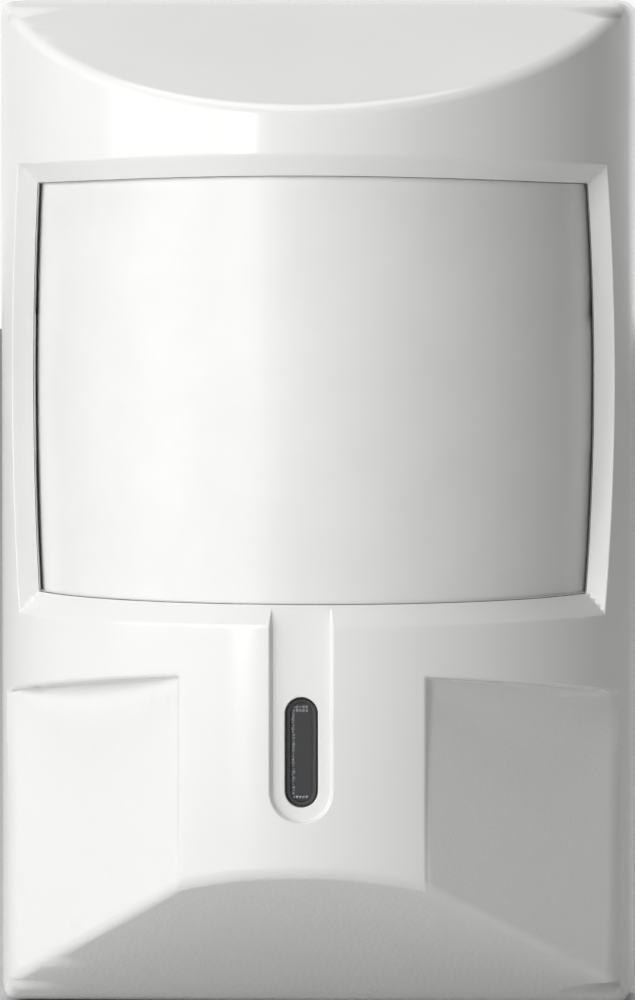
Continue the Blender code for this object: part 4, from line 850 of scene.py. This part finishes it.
def make_lights():
    middle = (0, -0.02, 0)
    area_light("key_left", (-0.235, -0.56, 0.13), middle, (0.08, 0.4), 1.1)
    area_light("soft_left", (-0.55, -0.45, 0.1), middle, (0.6, 0.6), 3.3)
    area_light("soft_top", (-0.1, -0.1, 1.1), middle, (0.8, 0.8), 5.2)
    area_light("front_soft", (0.1, -0.75, 0.02), middle, (0.75, 0.2), 0.3)
    bpy.context.scene.view_settings.view_transform = "Standard"


def make_camera():
    target = Vector((0, -0.021, 0))
    turn, rise, distance = math.radians(3.3), math.radians(3.36), 1.0
    away = Vector((math.sin(turn) * math.cos(rise), -math.cos(turn) * math.cos(rise), math.sin(rise)))
    data = bpy.data.cameras.new("camera")
    data.sensor_fit = "VERTICAL"
    data.sensor_height = 24.0
    data.lens = 242.5
    data.shift_x = 0.0037
    data.shift_y = 0.0042
    data.clip_start = 0.01
    camera = bpy.data.objects.new("camera", data)
    camera.location = target + distance * away
    camera.rotation_euler = (-away).to_track_quat("-Z", "Y").to_euler()
    bpy.context.scene.collection.objects.link(camera)
    bpy.context.scene.camera = camera


# ---- pieces ----
def make_cover():
    shell = make_cover_skin([cover_gloss(), cover_grain()])
    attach(shell, "cover")
    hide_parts("front_cover")


def curved_sheet(outer, inner, half_x, low, high, hole=None):
    """Points and faces of a bent sheet about the lens's axis, with a window-shaped hole if given."""
    reach = math.asin(half_x / outer)
    xs = np.linspace(-reach, reach, 73)
    zs = np.linspace(low, high, 25)
    if hole:
        turn = math.asin(hole[0] / outer)
        xs = np.sort(np.append(xs[np.abs(np.abs(xs) - turn) > 0.02], (-turn, turn)))
        zs = np.sort(np.append(zs[(np.abs(zs - hole[1]) > 0.4) & (np.abs(zs - hole[2]) > 0.4)], hole[1:]))
    points, faces = [], []
    for radius in (outer, inner):
        for z in zs:
            for a in xs:
                points.append((radius * math.sin(a), LIP_AXIS_Y - radius * math.cos(a), z))
    wide, tall = len(xs), len(zs)
    layer = wide * tall

    def solid(i, j):
        if not (0 <= i < wide - 1 and 0 <= j < tall - 1):
            return False
        if not hole:
            return True
        x = (xs[i] + xs[i + 1]) / 2
        z = (zs[j] + zs[j + 1]) / 2
        return not (abs(x) < math.asin(hole[0] / outer) and hole[1] < z < hole[2])

    def at(i, j, k):
        return k * layer + j * wide + i

    for j in range(tall - 1):
        for i in range(wide - 1):
            if not solid(i, j):
                continue
            faces.append((at(i, j, 0), at(i + 1, j, 0), at(i + 1, j + 1, 0), at(i, j + 1, 0)))
            faces.append((at(i, j, 1), at(i, j + 1, 1), at(i + 1, j + 1, 1), at(i + 1, j, 1)))
            for di, dj, a, b in ((-1, 0, (0, 1), (0, 0)), (1, 0, (1, 0), (1, 1)),
                                 (0, -1, (0, 0), (1, 0)), (0, 1, (1, 1), (0, 1))):
                if not solid(i + di, j + dj):
                    p, q = (i + a[0], j + a[1]), (i + b[0], j + b[1])
                    faces.append((at(*q, 0), at(*p, 0), at(*p, 1), at(*q, 1)))
    return points, faces


def smooth_by_angle(thing, degrees=35):
    thing.data.set_sharp_from_angle(angle=math.radians(degrees))


def lens_material():
    """Milky polyethylene sheet: soft sheen, faint cloudiness and long waves."""
    nodes = Nodes("lens_sheet", (0.83, 0.83, 0.82), 0.32, Specular_IOR_Level=0.4)
    nodes.tint(nodes.ramp(nodes.noise(130.0, 5.0, 0.6), 0.25, 0.8, 0, 1), (0.785, 0.785, 0.775))
    nodes.rough(nodes.noise(200.0, 3.0), change=0.02)
    nodes.bump(nodes.noise(160.0, 2.0), 0.10, 0.00006)
    nodes.bump(nodes.noise(70.0, 1.0, stretch=(1.6, 1, 0.5)), 0.12, 0.0002)
    return nodes.material


def make_lens():
    outer = LIP_RADIUS - LENS_GAP
    low, high = WINDOW_BOTTOM - LENS_OVERLAP, WINDOW_TOP + LENS_OVERLAP
    points, faces = curved_sheet(outer, outer - LENS_THICK, LENS_HALF, low, high)
    lens = from_lists("lens_sheet", points, faces, [lens_material()])
    smooth_by_angle(lens)
    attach(lens, "cover")
    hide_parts("fresnel_lens")
    back = outer - HOLDER_GAP
    hole = (HOLDER_OPENING_HALF, WINDOW_BOTTOM + 1, WINDOW_TOP - 1.4)
    points, faces = curved_sheet(back, back - HOLDER_THICK, HOLDER_HALF, low, high, hole)
    holder = from_lists("lens_holder", points, faces, [plastic("frame_plastic", (0.78, 0.78, 0.76), 0.45)])
    smooth_by_angle(holder)
    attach(holder, "cover")
    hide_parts("lens_frame")


def stadium(half, high, count=14):
    """Outline of an upright rounded-end slot about its own middle, anticlockwise from the right."""
    straight = high - half
    turn = np.linspace(0, math.pi, count)
    upper = [(half * math.cos(a), straight + half * math.sin(a)) for a in turn]
    return upper + [(-x, -z) for x, z in upper]


def close_rings(faces, start, rings, count):
    """Faces between rings of count points each, the first from start on, and over both ends."""
    for k in range(rings - 1):
        near, far = start + k * count, start + (k + 1) * count
        for i in range(count):
            j = (i + 1) % count
            faces.append((near + i, near + j, far + j, far + i))
    faces.append(tuple(range(start, start + count)))
    faces.append(tuple(reversed(range(start + (rings - 1) * count, start + rings * count))))


def make_indicator():
    """Smoked window: a plug with a bevelled rim, a sunk face, and small prisms moulded along one side,
    coloured light grey as painted glints.
    """
    lowest, highest = (corner * 1000 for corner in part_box("indicator_window"))
    front = RECESS_FLOOR + 0.3
    clearance, sunk, flange = 0.16, 0.26, 0.9
    middle = (SLOT_HIGH + SLOT_LOW) / 2
    half, tall = SLOT_HALF - clearance, SLOT_LENGTH / 2 - clearance
    plug = [(half, tall, highest.y - flange), (half, tall, front + 0.12), (half - 0.1, tall - 0.1, front),
            (half - 0.38, tall - 0.38, front + 0.02), (half - 0.46, tall - 0.46, front + sunk)]
    wide, long = (highest.x - lowest.x) / 2 - 0.02, (highest.z - lowest.z) / 2 - 0.02
    collar = [(wide, long, highest.y - 0.02), (wide, long, highest.y - flange)]
    points, faces = [], []
    for rings in (plug, collar):
        start = len(points)
        for ring_half, ring_tall, y in rings:
            points += [(x, y, z + middle) for x, z in stadium(ring_half, ring_tall)]
        close_rings(faces, start, len(rings), (len(points) - start) // len(rings))
    plain_faces = len(faces)
    face_y = front + sunk
    rng = np.random.default_rng(7)
    spots = [(-half + 0.62 + 0.1 * rng.random(), z) for z in np.arange(-tall + 1.2, tall - 1.0, 0.3)]
    spots += [(x, z) for z in (-tall + 0.85, tall - 0.85, tall - 1.2) for x in np.arange(-0.75, 0.8, 0.32)]
    for x, z in spots:
        start = len(points)
        size = 0.09 + 0.07 * rng.random()
        tilt = rng.uniform(-0.07, 0.07, 2)
        for dx, dz in ((-size, -size), (size, -size), (size, size), (-size, size)):
            points.append((x + dx, face_y + 0.01, middle + z + dz))
        points.append((x + tilt[0], face_y - 0.16, middle + z + tilt[1]))
        faces += [(start + i, start + (i + 1) % 4, start + 4) for i in range(4)]
        faces.append((start + 3, start + 2, start + 1, start))
    smoked = plastic("smoked_window", (0.026, 0.027, 0.029), 0.34, grain=300.0, strength=0.05,
                     Specular_IOR_Level=0.6)
    # The prisms' light grey colour is a painted glint; the window is smoked plastic throughout.
    glints = plastic("smoked_prisms", (0.30, 0.30, 0.31), 0.12, grain=300.0, strength=0.05,
                     Specular_IOR_Level=0.9)
    kinds = [0] * plain_faces + [1] * (len(faces) - plain_faces)
    piece = from_lists("indicator_plug", points, faces, [smoked, glints], kinds)
    smooth_by_angle(piece, 25)
    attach(piece, "cover")
    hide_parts("indicator_window")


def chip_resin():
    nodes = Nodes("black_resin", (0.022, 0.022, 0.024), 0.5, Specular_IOR_Level=0.45)
    nodes.tint(nodes.ramp(nodes.noise(400.0, 4.0), 0.4, 0.7, 0, 1), (0.05, 0.05, 0.05))
    nodes.rough(nodes.noise(800.0, 3.0), change=0.1)
    nodes.bump(nodes.noise(4000.0, 3.0), 0.5, 0.00002)
    return nodes.material


def board_mask():
    """Green lacquer with copper tracks faintly raised under it."""
    nodes = Nodes("board_mask", (0.012, 0.16, 0.06), 0.34, Specular_IOR_Level=0.5)
    tracks = nodes.noise(170.0, 0.0, stretch=(1, 1, 0.12))
    band = nodes.ramp(nodes.math("ABSOLUTE", nodes.math("SUBTRACT", tracks, 0.5)), 0.02, 0.03, 1, 0)
    nodes.tint(nodes.math("MULTIPLY", band, 0.8), (0.03, 0.27, 0.10))
    nodes.rough(nodes.noise(300.0, 3.0), change=0.05)
    nodes.bump(band, 0.3, 0.00003)
    nodes.bump(nodes.noise(900.0, 2.0), 0.15, 0.00002)
    return nodes.material


def finish_nodes():
    """Give every carried-over CAD node its own finish."""
    black = chip_resin()
    steel = metal("zinc_plate", (0.72, 0.73, 0.75), 0.32)
    nickel = metal("nickel_plate", (0.74, 0.72, 0.68), 0.26)
    moulded = {
        "rear_base": ("tray_plastic", (0.80, 0.80, 0.78), 0.42, 700.0, 0.25),
        "cable_seal": ("grey_rubber", (0.16, 0.16, 0.17), 0.75, 500.0, 0.4),
        "sensor_gasket": ("soft_rubber", (0.03, 0.03, 0.03), 0.8, 500.0, 0.4),
        "terminal_housing": ("terminal_green", (0.03, 0.30, 0.12), 0.42, 600.0, 0.2),
        "light_pipe_holder": ("holder_black", (0.03, 0.03, 0.03), 0.5, 700.0, 0.3),
        "tamper_body": ("switch_black", (0.025, 0.025, 0.028), 0.45, 700.0, 0.25),
        "tamper_plunger": ("plunger_black", (0.05, 0.05, 0.05), 0.35, 700.0, 0.2),
        "relay_case": ("relay_blue", (0.03, 0.11, 0.34), 0.36, 600.0, 0.2),
        "relay_base": ("relay_black", (0.02, 0.02, 0.022), 0.5, 700.0, 0.3),
        "pin_header": ("header_black", (0.02, 0.02, 0.02), 0.45, 700.0, 0.3),
        "jumper_cap_pulse": ("cap_red", (0.50, 0.03, 0.03), 0.35, 700.0, 0.2),
        "jumper_cap_led": ("cap_yellow", (0.75, 0.50, 0.03), 0.35, 700.0, 0.2),
        "trimmer_body": ("trimmer_blue", (0.03, 0.14, 0.45), 0.35, 700.0, 0.2),
        "varistor": ("varistor_blue", (0.05, 0.20, 0.42), 0.4, 300.0, 0.3),
    }
    finishes = {node: plastic(*values) for node, values in moulded.items()}
    finishes.update({
        "cover_screw": steel,
        "board_screw": steel,
        "circuit_board": board_mask(),
        "pyro_header": metal("gold_plate", (0.85, 0.64, 0.30), 0.25),
        "pyro_can": metal("gold_can", (0.80, 0.68, 0.42), 0.3, stretch=(1, 4, 1)),
        "pyro_filter": metal("silicon", (0.20, 0.21, 0.26), 0.12),
        "pyro_element": nickel,
        "status_led": plastic("led_red", (0.55, 0.02, 0.02), 0.12, Transmission_Weight=0.5, IOR=1.5),
        "light_pipe": plastic("clear_acrylic", (0.9, 0.92, 0.92), 0.06, Transmission_Weight=0.9, IOR=1.49),
        "trimmer_rotor": metal("brass", (0.78, 0.60, 0.28), 0.3),
        "microcontroller": black,
        "amplifier_chip": black,
        "voltage_regulator": black,
        "crystal_can": metal("crystal_steel", (0.75, 0.75, 0.76), 0.24, stretch=(1, 1, 3)),
    })
    can = metal("capacitor_can", (0.78, 0.78, 0.80), 0.22, stretch=(2, 1, 2))
    for number in (1, 2, 3):
        finishes[f"capacitor_{number}"] = can
    for number in range(1, 7):
        finishes[f"terminal_clamp_{number}"] = nickel
        finishes[f"terminal_screw_{number}"] = steel
    for node, material in finishes.items():
        thing = frame["nodes"][node]
        for place in thing.material_slots:
            place.material = material
        if not thing.material_slots:
            thing.data.materials.append(material)


def block_faces(points, faces, kinds, low, high, kind, bevel=0.05):
    """Adds a small block whose front edges are chamfered."""
    start = len(points)
    (x0, y0, z0), (x1, y1, z1) = low, high
    for inset, y in ((0, y1), (0, y0 + bevel), (bevel, y0)):
        points += [(x0 + inset, y, z0 + inset), (x1 - inset, y, z0 + inset),
                   (x1 - inset, y, z1 - inset), (x0 + inset, y, z1 - inset)]
    for ring in (0, 4):
        for i in range(4):
            j = (i + 1) % 4
            faces.append((start + ring + i, start + ring + j, start + ring + 4 + j, start + ring + 4 + i))
    faces.append((start + 8, start + 9, start + 10, start + 11))
    faces.append((start + 3, start + 2, start + 1, start))
    kinds += [kind] * 10


def make_chip_parts():
    """Chip resistors and capacitors with tinned ends, wherever the board's front is free."""
    low, high = (corner * 1000 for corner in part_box("circuit_board"))
    front = low.y
    reach = 1.9  # a chip's half length and the free strip round a part
    half = 0.62
    taken = []
    for node in frame["record"]["behaviour"]["bodies"]["board"] + ["terminal_housing", "board_screw"]:
        if node == "circuit_board":
            continue
        a, b = (corner * 1000 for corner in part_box(node))
        if b.y > front - 0.5:
            taken.append((a.x - reach, b.x + reach, a.z - reach, b.z + reach))
    rng = np.random.default_rng(11)
    points, faces, kinds = [], [], []
    for z in np.arange(low.z + 4.5, high.z - 3.0, 3.1):
        for x in np.arange(low.x + 3.5, high.x - 3.0, 3.6):
            place_x, place_z = x + rng.uniform(-0.3, 0.3), z + rng.uniform(-0.2, 0.2)
            upright = rng.random() < 0.45
            kind = 0 if rng.random() < 0.55 else 1
            wanted = rng.random() < 0.62
            near_slot = abs(place_x) < 4.2 and place_z < low.z + 15.5
            busy = any(a < place_x < b and c < place_z < d for a, b, c, d in taken)
            if busy or near_slot or not wanted:
                continue
            thick = 0.45 if kind == 0 else 0.7
            for start, end, part in ((-1.0, -half, 2), (-half, half, kind), (half, 1.0, 2)):
                if upright:
                    a, b = (place_x - half, start + place_z), (place_x + half, end + place_z)
                else:
                    a, b = (start + place_x, place_z - half), (end + place_x, place_z + half)
                lowest, highest = (a[0], front - thick, a[1]), (b[0], front - 0.01, b[1])
                block_faces(points, faces, kinds, lowest, highest, part)
    finishes = [plastic("resistor_black", (0.03, 0.03, 0.035), 0.4),
                plastic("ceramic_tan", (0.45, 0.32, 0.2), 0.45),
                metal("solder_tin", (0.75, 0.75, 0.74), 0.3)]
    parts = from_lists("chip_parts", points, faces, finishes, kinds)
    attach(parts, "board")


def make_spring():
    """Wound wire spring of the tamper switch."""
    low, high = (corner * 1000 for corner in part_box("tamper_spring"))
    wire, turns, steps, sides = 0.13, 5.0, 110, 10
    radius = (high.x - low.x) / 2 - wire
    centre_x, centre_z = (low.x + high.x) / 2, (low.z + high.z) / 2
    start, length = low.y + wire, high.y - low.y - 2 * wire
    points, faces = [], []
    for k in range(steps + 1):
        t = k / steps
        angle = 2 * math.pi * turns * t
        outward = Vector((math.cos(angle), 0, math.sin(angle)))
        centre = Vector((centre_x, start + length * t, centre_z)) + outward * radius
        for i in range(sides):
            turn = 2 * math.pi * i / sides
            points.append(centre + outward * (wire * math.cos(turn)) + Vector((0, wire * math.sin(turn), 0)))
    for k in range(steps):
        for i in range(sides):
            j = (i + 1) % sides
            faces.append((k * sides + i, (k + 1) * sides + i, (k + 1) * sides + j, k * sides + j))
    faces.append(tuple(range(sides)))
    faces.append(tuple(reversed(range(steps * sides, (steps + 1) * sides))))
    coil = from_lists("tamper_coil", points, faces, [metal("spring_wire", (0.66, 0.66, 0.68), 0.22)])
    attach(coil, "board")
    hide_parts("tamper_spring")
    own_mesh(coil)


make_stage()
make_lights()
make_camera()
make_cover()
make_lens()
make_indicator()
make_chip_parts()
make_spring()
finish_nodes()
